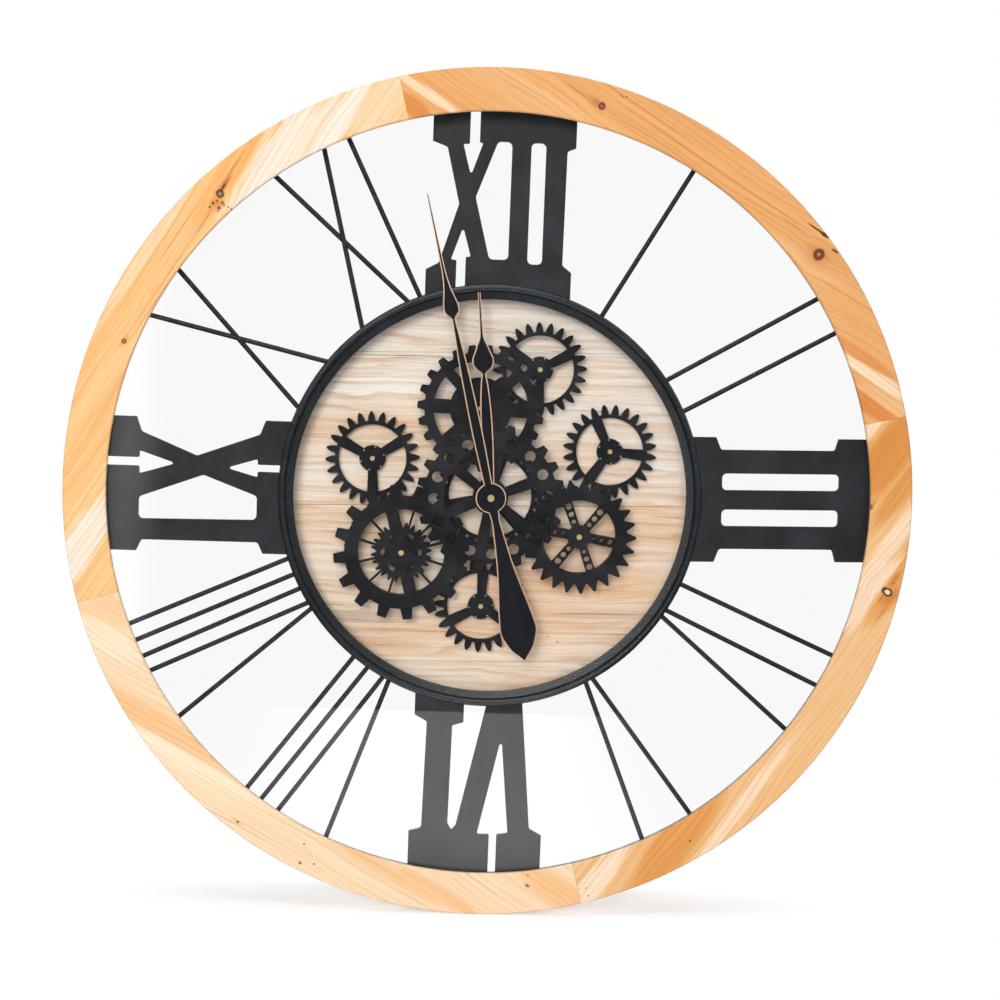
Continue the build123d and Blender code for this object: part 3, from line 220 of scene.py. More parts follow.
ringWood = {
    "roughness": 0.5, "gloss": 0.2, "relief": 0.15,
    "line": "#b9783c", "flare": "#b05a20", "slit": "#3a1206", "speck": "#6a2c0c", "joint": "#9a6c42",
    # the next colour is painted shade: the grey laid on the lip's inner face in front of the glass
    "lipShade": "#8a8f8c",
    "growthStrength": 0.34, "hairStrength": 0.24, "bandStrength": 0.35, "lateStrength": 0.2,
    "fleckStrength": 0.12, "jointStrength": 0.25,
    "sway": 12.0,                                # how far the grain wanders, in mm
    "jointEdge": (0.15, 0.45),                   # where a joint's dark line starts to fade and ends, in mm
    "opening": 270.4, "lip": (-60.5, -59.0),     # radius and depth of the edge that meets the glass, in mm
    # start and end are the angles of a board's joints and turn is its grain's direction, in degrees; base is
    # its tone on the four stops from pale to deep, and seed picks its grain
    # patches are (x, z, half length, half width, tone) in mm, drawn one over the other,
    # knots are (x, z, radius, stretch, middle, core, rim), flares and slits (x, z, half length, half width,
    # strength), specks (x, z, radius)
    "boards": {
        "upper_right": {
            "start": 13.4, "end": 104.4, "turn": -31.0, "seed": 3.0, "base": 0.66,
            "stops": ("#f7d9b4", "#eebc87", "#e6a86b", "#d8894a"),
            "patches": [(8.9, 283.5, 60, 10, 0.5), (137.5, 214.9, 110, 11, 0.52), (-65.2, 270.7, 18, 6, 1.0),
                        (-56.6, 280.6, 30, 3.5, 0.1), (152, 234.5, 85, 0.7, 0.95), (83, 283, 60, 0.6, 0.95),
                        (268.7, 96.5, 40, 5, 0.0), (257.7, 110.9, 30, 4, 0.9), (263.2, 76.8, 30, 6, 1.0),
                        (281, 77.9, 30, 5, 0.35)],
            "knots": [(66.1, 276.4, 2.5, 1.0, "#b9764c", "#98573a", "#6b2d1e"),
                      (223.2, 180.6, 4.3, 1.1, "#c09a78", "#86502f", "#66301f")],
            "flares": [(62, 278.5, 9, 4.0, 0.55), (50, 285, 20, 1.6, 0.4), (223, 180.6, 13, 9, 0.3)],
            "slits": [(221.6, 197.6, 9, 0.7, 0.9), (226.5, 194.4, 4, 1.3, 0.9), (234.4, 183.5, 3, 1.0, 0.8),
                      (205, 200, 12, 0.4, 0.35), (80, 283.6, 2.5, 0.5, 0.5)],
            "specks": [(83.2, 283.3, 0.6)]},
        "upper_left": {
            "start": 104.4, "end": 195.9, "turn": 58.0, "seed": 7.0, "base": 0.7,
            "stops": ("#f8e9d9", "#f5d7b3", "#f8c68a", "#ee9f4c"),
            "patches": [(-281.4, 39, 60, 8, 0.75), (-159.2, 224.4, 60, 17, 0.08),
                        (-129.9, 247.6, 45, 8, 0.22), (-112, 259.3, 45, 6, 0.0), (-86.3, 269.8, 35, 14, 0.45),
                        (-181, 233, 34, 4, 1.0), (-190, 219, 45, 8, 0.86), (-241.4, 169.3, 60, 4, 0.45),
                        (-286.2, -41.8, 45, 12, 0.08)],
            "knots": [(-195.4, 205.4, 2.9, 1.0, "#9c9088", "#857970", "#54301f"),
                      (-259.1, 101.6, 1.7, 1.0, "#c08a58", "#a0683c", "#7c4526")],
            "flares": [(-192.8, 211.5, 13, 2.6, 0.85), (-189, 220, 24, 1.3, 0.45), (-197, 199, 8, 6.0, 0.45),
                       (-206, 186, 26, 1.6, 0.4), (-259, 101.6, 8, 3.0, 0.35), (-229, 150, 60, 1.1, 0.4),
                       (-222, 180, 40, 0.9, 0.4), (-243, 122, 45, 1.0, 0.35), (-262, 75, 50, 0.9, 0.3)],
            "slits": [(-193.4, 209.6, 4, 0.9, 0.7)],
            "specks": [(-200.1, 198.8, 1.2), (-195.9, 195.6, 1.3), (-192.5, 197.8, 0.8), (-202.1, 196.0, 1.0),
                       (-197.4, 200.3, 0.9), (-189.7, 196.5, 0.7), (-187.6, 195.2, 0.7), (-193.7, 199.3, 1.1),
                       (-196.6, 193.6, 0.7)]},
        "lower_left": {
            "start": 195.9, "end": 284.6, "turn": -30.0, "seed": 11.0, "base": 0.3,
            "stops": ("#fae5ca", "#f6d6b1", "#f3c08b", "#ebab68"),
            "patches": [(-273, -83.8, 25, 12, 0.5), (-267.6, -108.3, 30, 9, 0.08),
                        (-231.2, -166.3, 75, 9, 0.62), (-207.9, -195.4, 60, 6, 0.1),
                        (-65.5, -270.1, 50, 5, 0.6), (-28, -284, 40, 6, 0.6), (60, -282.6, 35, 10, 0.65)],
            "knots": [(-127.1, -265.4, 1.1, 1.0, "#a9713f", "#a9713f", "#b57d47")],
            "flares": [(-172.2, -236.7, 7, 2.0, 0.3), (36, -278, 3, 1.6, 0.5)],
            "slits": [(36.4, -277.8, 1.3, 0.8, 0.7)],
            "specks": [(-172.2, -236.7, 0.9), (-124.6, -251.5, 0.8), (-117.1, -265.9, 0.8),
                       (36.5, -270.0, 0.7)]},
        "lower_right": {
            "start": 284.6, "end": 373.4, "turn": 55.0, "seed": 17.0, "base": 0.45,
            "stops": ("#f7ddc0", "#efc494", "#e6ab69", "#d68940"),
            "patches": [(283.6, 45.3, 60, 16, 0.95), (266.2, 62.7, 22, 6, 0.1), (288.5, -19, 55, 6, 0.1),
                        (294, -36, 34, 6, 0.8), (273.1, -58.5, 38, 7, 0.05), (295, 22, 45, 8, 0.85),
                        (292, -52, 35, 8, 0.8), (183.8, -221.8, 75, 5, 0.1), (141.5, -243.2, 60, 15, 0.85),
                        (104.1, -260.8, 45, 5, 0.55), (86.3, -273.5, 40, 8, 0.02)],
            "knots": [(285.3, -56.3, 4.1, 1.45, "#f0dcc4", "#ead2b6", "#42200f"),
                      (269.5, 4.2, 1.8, 1.0, "#c79a6c", "#a8703f", "#7d4526")],
            "flares": [(287.5, -60, 12, 6.5, 0.5), (283, -71, 16, 1.6, 0.4), (290.5, -47, 10, 3.0, 0.5),
                       (269.5, 4.2, 9, 3.5, 0.35)],
            "slits": [(283.6, -54.6, 1.0, 0.8, 0.85), (281.5, -60.5, 4, 0.5, 0.5)],
            "specks": [(78.8, -278.5, 0.6), (80.5, -284.3, 0.6), (152.5, -241.9, 0.9), (289.5, -50.0, 0.6)]},
    },
}


def highest(masks):               # the strongest of several masks
    joined = masks[0]
    for mask in masks[1:]:
        joined = joined | mask
    return joined


def grainPatch(finish, along, across, ragged, middle, length, width, soft=(0.65, 1.25)):
    flat = finish.joined(along / length, across / width, 0.0)      # a long soft patch of the grain
    away = finish.awayFrom(flat, middle[0] / length, middle[1] / width)
    return 1.0 - (away + ragged).step(*soft)


def dottedWith(finish, face, specks, ragged=0.0):      # small round specks, (x, z, radius) each
    return highest([1.0 - (finish.awayFrom(face, x, z) + ragged * size).step(size * 0.5, size * 1.3)
                    for x, z, size in specks])


def ringFinish(name, board):
    finish = Finish("ring wood " + name)
    x, y, z = finish.apart(finish.place())
    face = finish.joined(x, z, 0.0)
    turnX, turnZ = cos(radians(board["turn"])), sin(radians(board["turn"]))
    along = x * turnX + z * turnZ
    across = z * turnX - x * turnZ
    seed = board["seed"]

    def inGrain(placeX, placeZ):
        return placeX * turnX + placeZ * turnZ, placeZ * turnX - placeX * turnZ

    def drawn(rows, roughEdge, soft):
        masks = []
        for placeX, placeZ, length, width, strength in rows:
            middle = inGrain(placeX, placeZ)
            mask = grainPatch(finish, along, across, roughEdge, middle, length, width, soft)
            masks.append(mask * strength)
        return highest(masks)

    # The numbers beside along, across, line and y say how often a pattern repeats in a mm
    sway = finish.noise(finish.joined(along * 0.011 + seed, across * 0.015, y * 0.02), 1.0, 1.0) - 0.5
    line = across + sway * ringWood["sway"]
    flecks = finish.noise(finish.joined(along * 0.06, across * 0.3, y * 0.3 + seed), 1.0, 3.0, 0.6)
    shades = []
    for knotX, knotZ, radius, stretch, centre, core, rim in board["knots"]:
        middle = inGrain(knotX, knotZ)
        span = finish.awayFrom(finish.joined(along * stretch, across, 0.0), middle[0] * stretch, middle[1])
        near = 1.0 - span.step(radius * 0.5, radius * 5.0)
        line = line - (across - middle[1]) * near * 0.65       # the grain opens round a knot
        uneven = span + (flecks - 0.5) * radius * 0.6
        shades.append((1.0 - uneven.step(radius * 0.85, radius * 1.25), linear(rim)))
        shades.append((1.0 - uneven.step(radius * 0.42, radius * 0.75), linear(core)))
        shades.append((1.0 - span.step(radius * 0.1, radius * 0.3), linear(centre)))
    hairs = finish.noise(finish.joined(line * 1.1, along * 0.012 + seed, y * 0.3), 1.0, 3.0, 0.65)
    growth = finish.noise(finish.joined(line * 0.36, along * 0.004, seed + y * 0.05), 1.0, 3.0, 0.6)
    bands = finish.noise(finish.joined(line * 0.075, along * 0.003, seed), 1.0, 1.0)
    rings = (line * 0.26 + bands * 2.0 + flecks * 0.2).part()
    ragged = (growth - 0.5) * 0.8 + (hairs - 0.5) * 0.5 + (flecks - 0.5) * 0.5
    tone = board["base"] + (bands - 0.5) * ringWood["bandStrength"]
    for patchX, patchZ, length, width, value in board["patches"]:
        mask = grainPatch(finish, along, across, ragged, inGrain(patchX, patchZ), length, width)
        tone = tone + (value - tone) * mask
    tone = tone + (growth - 0.5) * ringWood["growthStrength"]
    tone = tone + (flecks - 0.5) * ringWood["fleckStrength"]
    stops = [(place, linear(code)) for place, code in zip((0.0, 0.33, 0.66, 1.0), board["stops"])]
    base = finish.tones(tone, stops)
    late = rings.step(0.35, 0.93) * (1.0 - rings.step(0.93, 1.0)) * growth.step(0.35, 0.6)    # dark late wood
    base = finish.blend(late * ringWood["lateStrength"], base, linear(ringWood["line"]))
    base = finish.blend(hairs.step(0.52, 0.66) * ringWood["hairStrength"], base, linear(ringWood["line"]))
    flares = drawn(board["flares"], ragged * 0.6, (0.1, 1.1))
    base = finish.blend(flares, base, linear(ringWood["flare"]))
    for mask, shade in shades:
        base = finish.blend(mask * 0.95, base, shade)
    slits = drawn(board["slits"], ragged * 0.5, (0.7, 1.2))
    base = finish.blend(slits, base, linear(ringWood["slit"]))
    dots = dottedWith(finish, face, board["specks"], hairs - 0.5)
    base = finish.blend(dots * 0.85, base, linear(ringWood["speck"]))
    seams = []
    for turn in (board["start"], board["end"]):
        beside = abs(x * sin(radians(turn)) - z * cos(radians(turn)))
        forward = (x * cos(radians(turn)) + z * sin(radians(turn))) > 0.0
        seams.append((1.0 - beside.step(*ringWood["jointEdge"])) * forward)
    seam = highest(seams)
    base = finish.blend(seam * ringWood["jointStrength"], base, linear(ringWood["joint"]))
    # Painted shade: the inner face of the lip in front of the glass is painted grey
    inner = (finish.awayFrom(face, 0.0, 0.0) < ringWood["opening"]) * y.step(*ringWood["lip"])
    base = finish.blend(inner * 0.8, base, linear(ringWood["lipShade"]))
    height = growth * 0.4 + hairs * 0.3 - seam * 0.8
    roughness = ringWood["roughness"] + (growth - 0.5) * 0.15
    return finish.paint(baseColor=base, roughness=roughness, gloss=ringWood["gloss"],
                        normal=finish.bumps(height, ringWood["relief"], 0.5))


for name, board in ringWood["boards"].items():
    dress(ringFinish(name, board), "wood_segment_" + name)
print("wooden ring finished")


# Dial: whitewashed planks on plywood

dialWood = {
    "wash": "#fbf4e8", "cream": "#f8e4cc", "peach": "#f2cda8", "streak": "#cf9669", "crack": "#7d583f",
    "hair": "#a87450", "smoke": "#b09a8e", "roughness": 0.62, "gloss": 0.2, "relief": 0.25,
    "sway": 5.0,                          # how far the grain wanders, in mm
    "seams": (103.0, -8.0, -122.0),       # heights of the seams between the four planks, in mm
    # these are (x, z, half length, half width, strength) in mm, and specks (x, z, radius)
    "peachy": [(-80, 40, 70, 16, 0.6), (60, -60, 90, 30, 0.5), (-60, -105, 90, 12, 0.45),
               (40, -100, 80, 14, 0.4), (110, -20, 40, 20, 0.5), (70, 30, 50, 12, 0.35),
               (-100, -20, 50, 20, 0.35)],
    "smoky": [(-85, -91, 42, 4.5, 0.7), (85, -86, 42, 2.0, 0.5), (90, -38, 45, 2.5, 0.45),
              (-10, -93, 25, 3, 0.4)],
    "streaky": [(-60, 113, 45, 2.0, 0.5), (-12, 117.5, 48, 0.8, 0.5), (-85, 87.4, 60, 0.8, 0.4),
                (-90, 50, 50, 1.2, 0.35), (-74, -83, 60, 1.2, 0.4), (-60, -101, 60, 1.0, 0.35),
                (95, 10, 40, 1.2, 0.35), (98, -30, 40, 1.4, 0.4), (-110, -30, 30, 1.2, 0.4)],
    "cracks": [(-67, 98.4, 62, 0.5, 0.75), (83, -84, 40, 0.5, 0.55), (70, -99, 48, 0.5, 0.6),
               (80, -94, 42, 0.4, 0.4), (-84, -91, 40, 0.45, 0.35)],
    "specks": [(46.5, -102.0, 0.8), (53.5, -106.0, 0.9)],
}


def dialFinish():
    finish = Finish("whitewashed plank")
    x, y, z = finish.apart(finish.place())
    board = sum(z > seam for seam in dialWood["seams"])       # 0 to 3, so each plank has its own grain
    # The numbers beside x, z and line say how often a pattern repeats in a mm
    sway = finish.noise(finish.joined(x * 0.013 + board * 3.0, 0.0, z * 0.02), 1.0, 1.0) - 0.5
    line = z + sway * dialWood["sway"]
    lines = finish.noise(finish.joined(x * 0.004 + board * 7.0, board * 3.0, line * 0.3), 1.0, 3.0, 0.6)
    fine = finish.noise(finish.joined(x * 0.007, board * 5.0, line * 1.5), 1.0, 3.0, 0.65)
    broad = finish.noise(finish.joined(x * 0.008, board, line * 0.05 + board * 2.0), 1.0, 2.0)
    broken = finish.noise(finish.joined(x * 0.012, board * 2.0, line * 0.12), 1.0, 2.0).step(0.4, 0.6)
    speckle = finish.noise(finish.joined(x * 0.5, board, z * 0.5), 1.0, 3.0, 0.6)
    ragged = (lines - 0.5) * 1.2 + (fine - 0.5) * 0.8
    rings = (line * 0.14 + broad * 4.0 + lines * 0.4).part()

    def drawn(patches, roughEdge):
        return highest([grainPatch(finish, x, line, roughEdge, (middleX, middleZ), length, width) * strength
                        for middleX, middleZ, length, width, strength in patches])

    # Pale wash at the top, warmer towards the bottom
    warmth = (broad - 0.5) * 1.6 + 0.2 - z * 0.0016 + drawn(dialWood["peachy"], ragged)
    base = finish.tones(warmth, [(0.0, linear(dialWood["wash"])), (0.4, linear(dialWood["cream"])),
                                 (1.0, linear(dialWood["peach"]))])
    streak = linear(dialWood["streak"])
    base = finish.blend(lines.step(0.48, 0.66) * 0.26, base, streak)
    base = finish.blend(fine.step(0.5, 0.66) * 0.16, base, streak)
    base = finish.blend((1.0 - lines.step(0.34, 0.48)) * 0.45, base, linear(dialWood["wash"]))
    late = rings.step(0.3, 0.94) * (1.0 - rings.step(0.94, 1.0))
    base = finish.blend(late * (0.12 + broken * 0.3), base, streak)
    hair = 1.0 - abs(lines - 0.47).step(0.001, 0.009)          # thin dark grain lines
    hair = hair | (1.0 - abs(fine - 0.55).step(0.002, 0.02)) * 0.5
    base = finish.blend(hair * (0.15 + broken * 0.55), base, linear(dialWood["hair"]))
    base = finish.blend(speckle.step(0.45, 0.75) * 0.14, base, streak)
    streaks = drawn(dialWood["streaky"], (fine - 0.5) * 1.4)
    base = finish.blend(streaks * (0.35 + broken * 0.65), base, streak)
    base = finish.blend(drawn(dialWood["smoky"], ragged) * 0.6, base, linear(dialWood["smoke"]))
    cracks = drawn(dialWood["cracks"], (lines - 0.5) * 0.5) * (0.4 + broken * 0.6)
    base = finish.blend(cracks, base, linear(dialWood["crack"]))
    dots = dottedWith(finish, finish.joined(x, z, 0.0), dialWood["specks"])
    base = finish.blend(dots * 0.6, base, linear(dialWood["crack"]))
    height = lines * 0.4 - fine * 0.4 - cracks * 0.6
    return finish.paint(baseColor=base, roughness=dialWood["roughness"] + (fine - 0.5) * 0.15,
                        gloss=dialWood["gloss"], normal=finish.bumps(height, dialWood["relief"], 0.5))


dress(dialFinish(), "dial_planks")


plywood = {"pale": "#cfae84", "deep": "#b08a5d", "glue": "#8f6a45", "roughness": 0.65}


def plywoodFinish():
    finish = Finish("plywood")
    x, y, z = finish.apart(finish.place())
    plies = finish.noise(finish.joined(x * 0.01, y * 1.6, z * 0.02), 1.0, 1.0)
    grain = finish.noise(finish.joined(x * 0.05, y, z * 0.9), 1.0, 3.0, 0.6)
    base = finish.blend(grain.step(0.35, 0.7), linear(plywood["pale"]), linear(plywood["deep"]))
    base = finish.blend(plies.step(0.45, 0.6) * 0.4, base, linear(plywood["glue"]))
    return finish.paint(baseColor=base, roughness=plywood["roughness"] + (grain - 0.5) * 0.1,
                        normal=finish.bumps(grain, 0.2, 0.5))


dress(plywoodFinish(), "dial_backing")
print("dial finished")


# Painted steel: satin for the frame and drum, flatter for the wheels

steelPaint = {
    "frame": {"colour": "#1f2124", "worn": "#333539", "roughness": 0.42, "gloss": 0.3, "grain": 0.02},
    "drum": {"colour": "#181c20", "worn": "#222a30", "roughness": 0.27, "gloss": 0.7, "grain": 0.0},
    "wheel": {"colour": "#141518", "worn": "#323235", "roughness": 0.5, "gloss": 0.16, "grain": 0.05},
}


def steelFinish(name, paint):
    finish = Finish("painted steel " + name)
    place = finish.place()
    cloud = finish.noise(place, 0.035, 3.0, 0.6)
    orange = finish.noise(place, 1.6, 2.0, 0.5)
    dust = finish.noise(place, 0.35, 4.0, 0.7)
    base = finish.blend(cloud.step(0.35, 0.72) * 0.6, linear(paint["colour"]), linear(paint["worn"]))
    base = finish.blend(dust.step(0.55, 0.8) * 0.35, base, linear(paint["worn"]))
    roughness = paint["roughness"] + (cloud - 0.5) * 0.08
    return finish.paint(baseColor=base, roughness=roughness, gloss=paint["gloss"],
                        normal=finish.bumps(orange, paint["grain"], 0.5))


rods = [name for name in nodes if name.startswith("rods_")]
plates = [name for name in nodes if name.startswith("plate_")]
wheels = ["central_wheel", "central_ring", "central_drive_gear", "upper_wheel", "upper_pinion", "top_gear",
          "left_gear", "right_gear", "lower_left_wheel", "lower_left_drive_gear", "lower_left_front_gear",
          "lower_right_wheel", "lower_right_drive_gear", "bottom_gear"]
dress(steelFinish("frame", steelPaint["frame"]), *rods, *plates, "frame_ring", "glass_hoop", "rear_cover",
      "hanger_plate")
dress(steelFinish("drum", steelPaint["drum"]), "drum_shell")
dress(steelFinish("wheel", steelPaint["wheel"]), *wheels)
print("painted steel finished")


# Bare metals

metals = {
    "brass": {"colour": "#f0d39c", "dull": "#c39a62", "metallic": 0.65, "roughness": 0.36},
    "zinc": {"colour": "#c9ccd0", "dull": "#9a9da2", "metallic": 0.9, "roughness": 0.34},
    "bright steel": {"colour": "#d8dadc", "dull": "#a9abae", "metallic": 0.7, "roughness": 0.3},
}


def metalFinish(name, metal):
    finish = Finish(name)
    place = finish.place()
    stain = finish.noise(place, 0.5, 3.0, 0.6)
    scratch = finish.noise(place, 3.5, 2.0, 0.6)
    base = finish.blend(stain.step(0.4, 0.75) * 0.6, linear(metal["colour"]), linear(metal["dull"]))
    roughness = metal["roughness"] + (stain - 0.5) * 0.16 + (scratch - 0.5) * 0.1
    return finish.paint(baseColor=base, metallic=metal["metallic"], roughness=roughness,
                        normal=finish.bumps(scratch, 0.02, 0.4))


metalOf = {name: metalFinish(name, metal) for name, metal in metals.items()}
dress(metalOf["brass"], "brass_posts", "arbor_bushes", "top_arbor", "right_arbor", "hand_nut", "hour_arbor",
      "minute_arbor")
dress(metalOf["zinc"], "rear_screws", "battery_contacts", "movement_nut")


# Hands: black sheet on a copper-coloured sheet that shows as a thin edge

handLook = {"black": "#14161b", "sheen": "#1d1f25", "copper": "#efc7a6", "copperDull": "#d39e78",
            "blackRoughness": 0.16, "copperRoughness": 0.36,
            "blackSheet": 0.5, "edge": 0.05,      # mm of the front that is black, less a hair for its edge
            "copperMetallic": 0.35,
            "ridge": {"minute_hand": 0.2, "hour_hand": 0.0},      # how steeply the face falls from its ridge
            "ridgeReach": 12.0,                                   # how far to each side it falls, in mm
            "turn": {"minute_hand": 98.3, "hour_hand": 92.0}}     # the ridge's direction in degrees


def handFinish(name):
    finish = Finish("hand " + name)
    place = finish.place()
    x, y, z = finish.apart(place)
    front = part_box(name)[0].y / mm
    copper = y > front + handLook["blackSheet"] - handLook["edge"]
    brushed = finish.noise(place, 0.6, 3.0, 0.6)
    dark = finish.blend(brushed.step(0.4, 0.8) * 0.3, linear(handLook["black"]), linear(handLook["sheen"]))
    dulled = brushed.step(0.35, 0.7) * 0.4
    warm = finish.blend(dulled, linear(handLook["copper"]), linear(handLook["copperDull"]))
    rougher = handLook["copperRoughness"] - handLook["blackRoughness"]
    roughness = handLook["blackRoughness"] + copper * rougher + (brushed - 0.5) * 0.08
    turn = radians(handLook["turn"][name])
    aside = abs(x * sin(turn) - z * cos(turn))       # mm from the ridge
    ridge = (aside & handLook["ridgeReach"]) * -handLook["ridge"][name] * (1.0 - copper) + brushed * 0.02
    return finish.paint(baseColor=finish.blend(copper, dark, warm), roughness=roughness,
                        metallic=copper * handLook["copperMetallic"], normal=finish.bumps(ridge, 1.0))


for name in ("minute_hand", "hour_hand"):
    dress(handFinish(name), name)
print("metals and hands finished")


# Plastics, cells and rubber

plasticLook = {
    "black": {"colour": "#1d1e20", "fleck": "#2c2d30", "roughness": 0.5},
    "pale": {"colour": "#d9d8d0", "fleck": "#c4c3ba", "roughness": 0.5},
    "rubber": {"colour": "#232323", "fleck": "#343434", "roughness": 0.85},
}


def plasticFinish(name, look):
    finish = Finish("plastic " + name)
    place = finish.place()
    spark = finish.noise(place, 2.2, 2.0, 0.5)
    cloud = finish.noise(place, 0.08, 2.0, 0.5)
    base = finish.blend(cloud.step(0.35, 0.7) * 0.6, linear(look["colour"]), linear(look["fleck"]))
    roughness = look["roughness"] + (spark - 0.5) * 0.12
    return finish.paint(baseColor=base, roughness=roughness, normal=finish.bumps(spark, 0.05, 0.5))


cellLook = {"sleeve": "#2b3440", "scuffed": "#46505c", "roughness": 0.3}


def cellFinish():
    finish = Finish("cell sleeve")
    place = finish.place()
    scuff = finish.noise(place, 0.3, 3.0, 0.6)
    base = finish.blend(scuff.step(0.4, 0.8) * 0.5, linear(cellLook["sleeve"]), linear(cellLook["scuffed"]))
    return finish.paint(baseColor=base, roughness=cellLook["roughness"] + (scuff - 0.5) * 0.2,
                        normal=finish.bumps(scuff, 0.03, 0.3))


dress(plasticFinish("black", plasticLook["black"]), "movement_case", "battery_box", "battery_cover",
      "set_knob", "gear_motor")
dress(plasticFinish("pale", plasticLook["pale"]), "motor_pinion", "top_transfer_gear", "right_transfer_gear")
dress(plasticFinish("rubber", plasticLook["rubber"]), "wall_bumpers")
dress(cellFinish(), "batteries")
print("plastics finished")


# Glass

# straightOn is the share that a clean pane mirrors when seen square on, and falloff is how late it rises
glassLook = {"gloss": 0.88, "straightOn": 0.04, "falloff": 5.0, "smears": 0.1, "roughness": 0.01}


def glassFinish():
    finish = Finish("cover glass")
    place = finish.place()
    smear = finish.noise(place, 0.01, 2.0, 0.5)
    clear = finish.add("ShaderNodeBsdfTransparent", None, [white])
    mirror = finish.add("ShaderNodeBsdfAnisotropic", None,
                        {"Color": white, "Roughness": glassLook["roughness"]})
    slant = finish.add("ShaderNodeLayerWeight", None, {"Blend": 0.5}, "Facing").power(glassLook["falloff"])
    share = glassLook["straightOn"] + slant * (1.0 - glassLook["straightOn"])       # the same on both faces
    smeared = 0.95 + smear * glassLook["smears"]
    lampRay = rayKinds(finish, "Is Shadow Ray")[0]
    amount = (share * glassLook["gloss"] * smeared & 1.0) * (1.0 - lampRay)
    return finish.show(finish.add("ShaderNodeMixShader", None, [amount, clear, mirror]))


dress(glassFinish(), "glass_cover")
print("glass finished")


# Small rivets on the hub discs of the three-spoke wheels

rivets = {"radius": 0.6, "height": 0.35, "circle": 8.5, "count": 6, "setback": 0.6,
          # sizes in mm; each wheel's middle, the turn of its first rivet in degrees, and the body it rides on
          "wheels": {"left_gear": (-85.6, 24.3, 17.0, "left_wheel"),
                     "right_gear": (85.3, 35.1, 38.0, "right_train"),
                     "top_gear": (32.3, 92.3, 9.0, "top_train"),
                     "bottom_gear": (-3.8, -80.4, 7.0, "bottom_wheel")}}


def addDome(form, x, front, z, radius, height, steps=12, rings=4):      # a low closed dome towards the front
    angles = [2 * pi * step / steps for step in range(steps)]
    rows = []
    for ring in range(rings):
        lift = ring / rings * pi / 2
        reach = radius * cos(lift)
        level = front - height * sin(lift)
        rows.append([form.verts.new((x + reach * cos(angle), level, z + reach * sin(angle)))
                     for angle in angles])
    top = form.verts.new((x, front - height, z))
    for low, high in zip(rows, rows[1:]):
        for step in range(steps):
            form.faces.new((low[step], low[step - 1], high[step - 1], high[step]))
    for step in range(steps):
        form.faces.new((rows[-1][step], rows[-1][step - 1], top))
    form.faces.new(rows[0])


def makePiece(name, form, material, body):
    bmesh.ops.recalc_face_normals(form, faces=form.faces)
    mesh = bpy.data.meshes.new(name)
    form.to_mesh(mesh)
    form.free()
    mesh.materials.append(material)
    for face in mesh.polygons:
        face.use_smooth = True
    piece = bpy.data.objects.new(name, mesh)
    bpy.context.scene.collection.objects.link(piece)
    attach(piece, body)


def makeRivets():
    for wheel, (x, z, turn, body) in rivets["wheels"].items():
        form = bmesh.new()
        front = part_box(wheel)[0].y + rivets["setback"] * mm
        for step in range(rivets["count"]):
            angle = radians(turn + 360 * step / rivets["count"])
            rivetX = (x + rivets["circle"] * cos(angle)) * mm
            rivetZ = (z + rivets["circle"] * sin(angle)) * mm
            addDome(form, rivetX, front, rivetZ, rivets["radius"] * mm, rivets["height"] * mm)
        makePiece("hub_rivets_" + wheel, form, metalOf["bright steel"], body)


makeRivets()
print("rivets made")


# Floor and light

studio = {"floorLevel": -0.3, "floorFront": -0.749, "floorBack": 6.0, "floorHalfWidth": 6.0,
          # the floor's own tone, its second tone's step, and the light it gives off near the clock
          "floorColour": (0.68, 0.71, 0.73), "floorMottle": 0.02, "floorLift": (0.44, 0.395, 0.37),
          # the oval round the clock where the floor takes its shadow; outside it the floor is plain white
          "shadowReach": (0.28, 0.05), "shadowMiddle": (0.0, -0.03), "shadowEdge": (0.4, 1.0),
          # the floor's strength in mirrors, and where that fades: the middle, start and end in x
          "floorInGlass": 1.2, "glassReach": (-0.02, 0.06, 0.26),
          "ambient": 0.18,           # light of the room on the object
          # what mirrors see: a dark room with white behind the clock, a ceiling, a wall to the right and two
          # windows, each with the edges of a ray's direction where it starts, ends or softens
          "room": 0.07, "behind": (-0.15, 0.1), "ceiling": (0.35, 0.9), "rightWall": (0.3, 0.6),
          "rightStrength": 0.4, "leftWindow": (0.152, 0.26, 0.014), "leftStrength": 0.9,
          "highWindow": (0.145, 0.4, 0.014), "highAcross": (-0.45, 0.1, 0.08), "highStrength": 3.5,
          # name, place, size, power, and whether it shows in reflections
          "lamps": [("front", (-0.4, -3.2, 0.6), 2.4, 61.0, False),
                    ("key", (-0.8, -3.1, 0.9), 0.9, 32.0, False),
                    ("top", (0.0, -0.8, 2.3), 1.2, 16.0, True),
                    ("rear", (1.2, 3.0, 1.4), 2.0, 60.0, False)]}


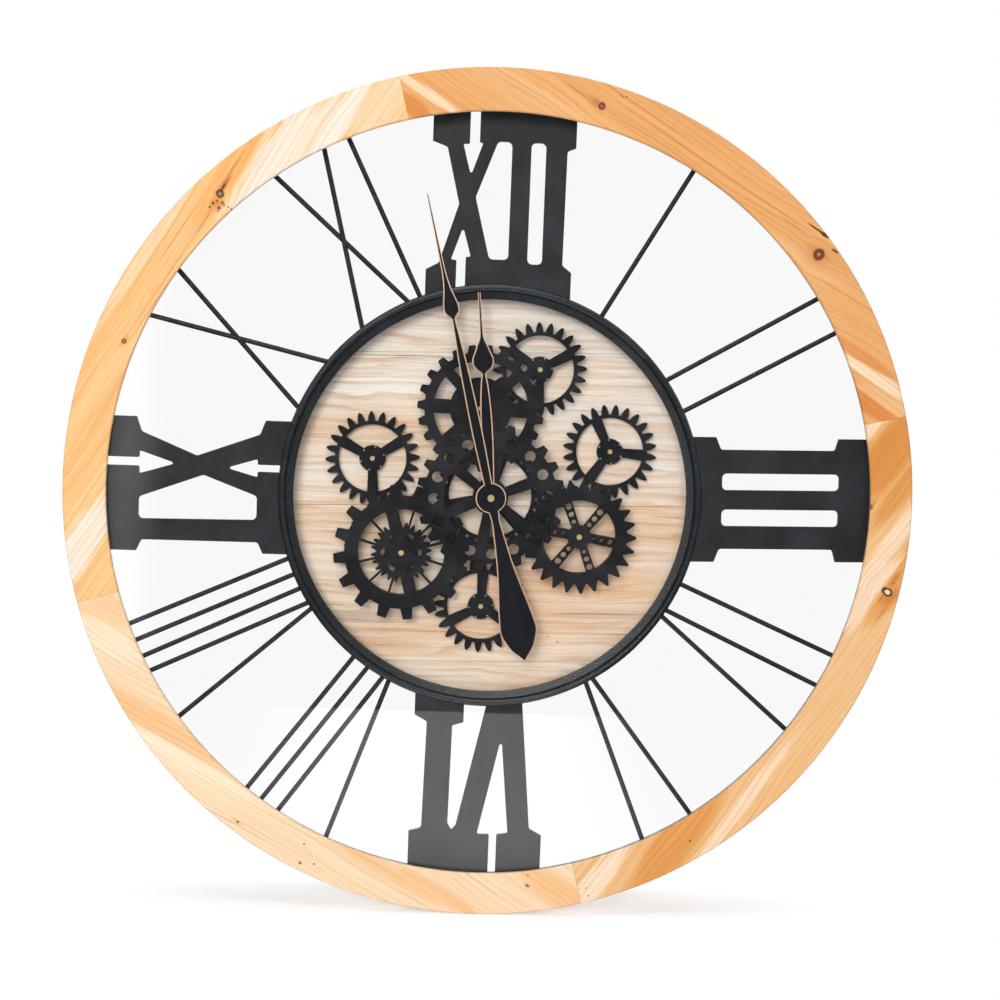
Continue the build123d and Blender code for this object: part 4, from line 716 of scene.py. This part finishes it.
def floorFinish():
    finish = Finish("pale floor")
    place = finish.place()
    x, y = finish.apart(place)[:2]
    viewed, glossy = rayKinds(finish, "Is Camera Ray", "Is Glossy Ray")
    seen = viewed | glossy
    mottle = finish.noise(place, 0.01, 2.0, 0.5)
    paler = tuple(part + studio["floorMottle"] for part in studio["floorColour"])
    matt = finish.add("ShaderNodeBsdfDiffuse", None, [finish.blend(mottle, studio["floorColour"], paler)])
    lift = finish.add("ShaderNodeEmission", None, [(*studio["floorLift"], 1.0), seen])
    near = finish.add("ShaderNodeAddShader", None, [matt, lift])
    aside, inner, outer = (value / mm for value in studio["glassReach"])
    mirrored = studio["room"] + (1.0 - abs(x - aside).step(inner, outer)) * studio["floorInGlass"]
    far = finish.add("ShaderNodeEmission", None, [white, 1.0 - glossy + mirrored * glossy])
    reachX, reachY = (reach / mm for reach in studio["shadowReach"])
    middleX, middleY = (middle / mm for middle in studio["shadowMiddle"])
    away = finish.awayFrom(finish.joined(x / reachX, y / reachY, 0.0), middleX / reachX, middleY / reachY)
    amount = away.step(*studio["shadowEdge"]) * seen
    return finish.show(finish.add("ShaderNodeMixShader", None, [amount, near, far]))


def makeFloor():
    form = bmesh.new()
    wide, level = studio["floorHalfWidth"], studio["floorLevel"]
    front, back = studio["floorFront"], studio["floorBack"]
    corners = [(-wide, front, level), (wide, front, level), (wide, back, level), (-wide, back, level)]
    form.faces.new([form.verts.new(corner) for corner in corners])
    mesh = bpy.data.meshes.new("floor")
    form.to_mesh(mesh)
    form.free()
    mesh.materials.append(floorFinish())
    floor = bpy.data.objects.new("floor", mesh)
    bpy.context.scene.collection.objects.link(floor)


def makeSky():
    world = bpy.data.worlds.new("studio")
    bpy.context.scene.world = world
    sky = Finish("studio", world)
    viewed, glossy, through = rayKinds(sky, "Is Camera Ray", "Is Glossy Ray", "Is Transmission Ray")
    x, y, z = sky.apart(sky.add("ShaderNodeTexCoord", output="Generated"))
    backdrop = viewed | through
    rightWall = x.step(*studio["rightWall"]) * studio["rightStrength"]
    leftWindow = (0.0 - x).between(*studio["leftWindow"]) * studio["leftStrength"]
    highWindow = z.between(*studio["highWindow"]) * x.between(*studio["highAcross"]) * studio["highStrength"]
    bright = [y.step(*studio["behind"]), z.step(*studio["ceiling"]), rightWall, leftWindow, highWindow]
    level = studio["ambient"] * (1.0 - glossy) + (highest(bright) | studio["room"]) * glossy
    level = backdrop + level * (1.0 - backdrop)
    background = sky.add("ShaderNodeBackground", None, [white, level])
    sky.add("ShaderNodeOutputWorld", None, {"Surface": background})


def makeLamps():
    for name, place, size, power, inMirror in studio["lamps"]:
        data = bpy.data.lights.new(name, "AREA")
        data.shape = "SQUARE"
        data.size = size
        data.energy = power
        lamp = bpy.data.objects.new(name, data)
        lamp.location = place
        lamp.rotation_euler = (-Vector(place)).to_track_quat("-Z", "Y").to_euler()       # towards the clock
        lamp.visible_camera = False
        lamp.visible_glossy = inMirror
        bpy.context.scene.collection.objects.link(lamp)


makeFloor()
makeSky()
makeLamps()
bpy.context.scene.view_settings.view_transform = "Standard"
print("floor and light set")
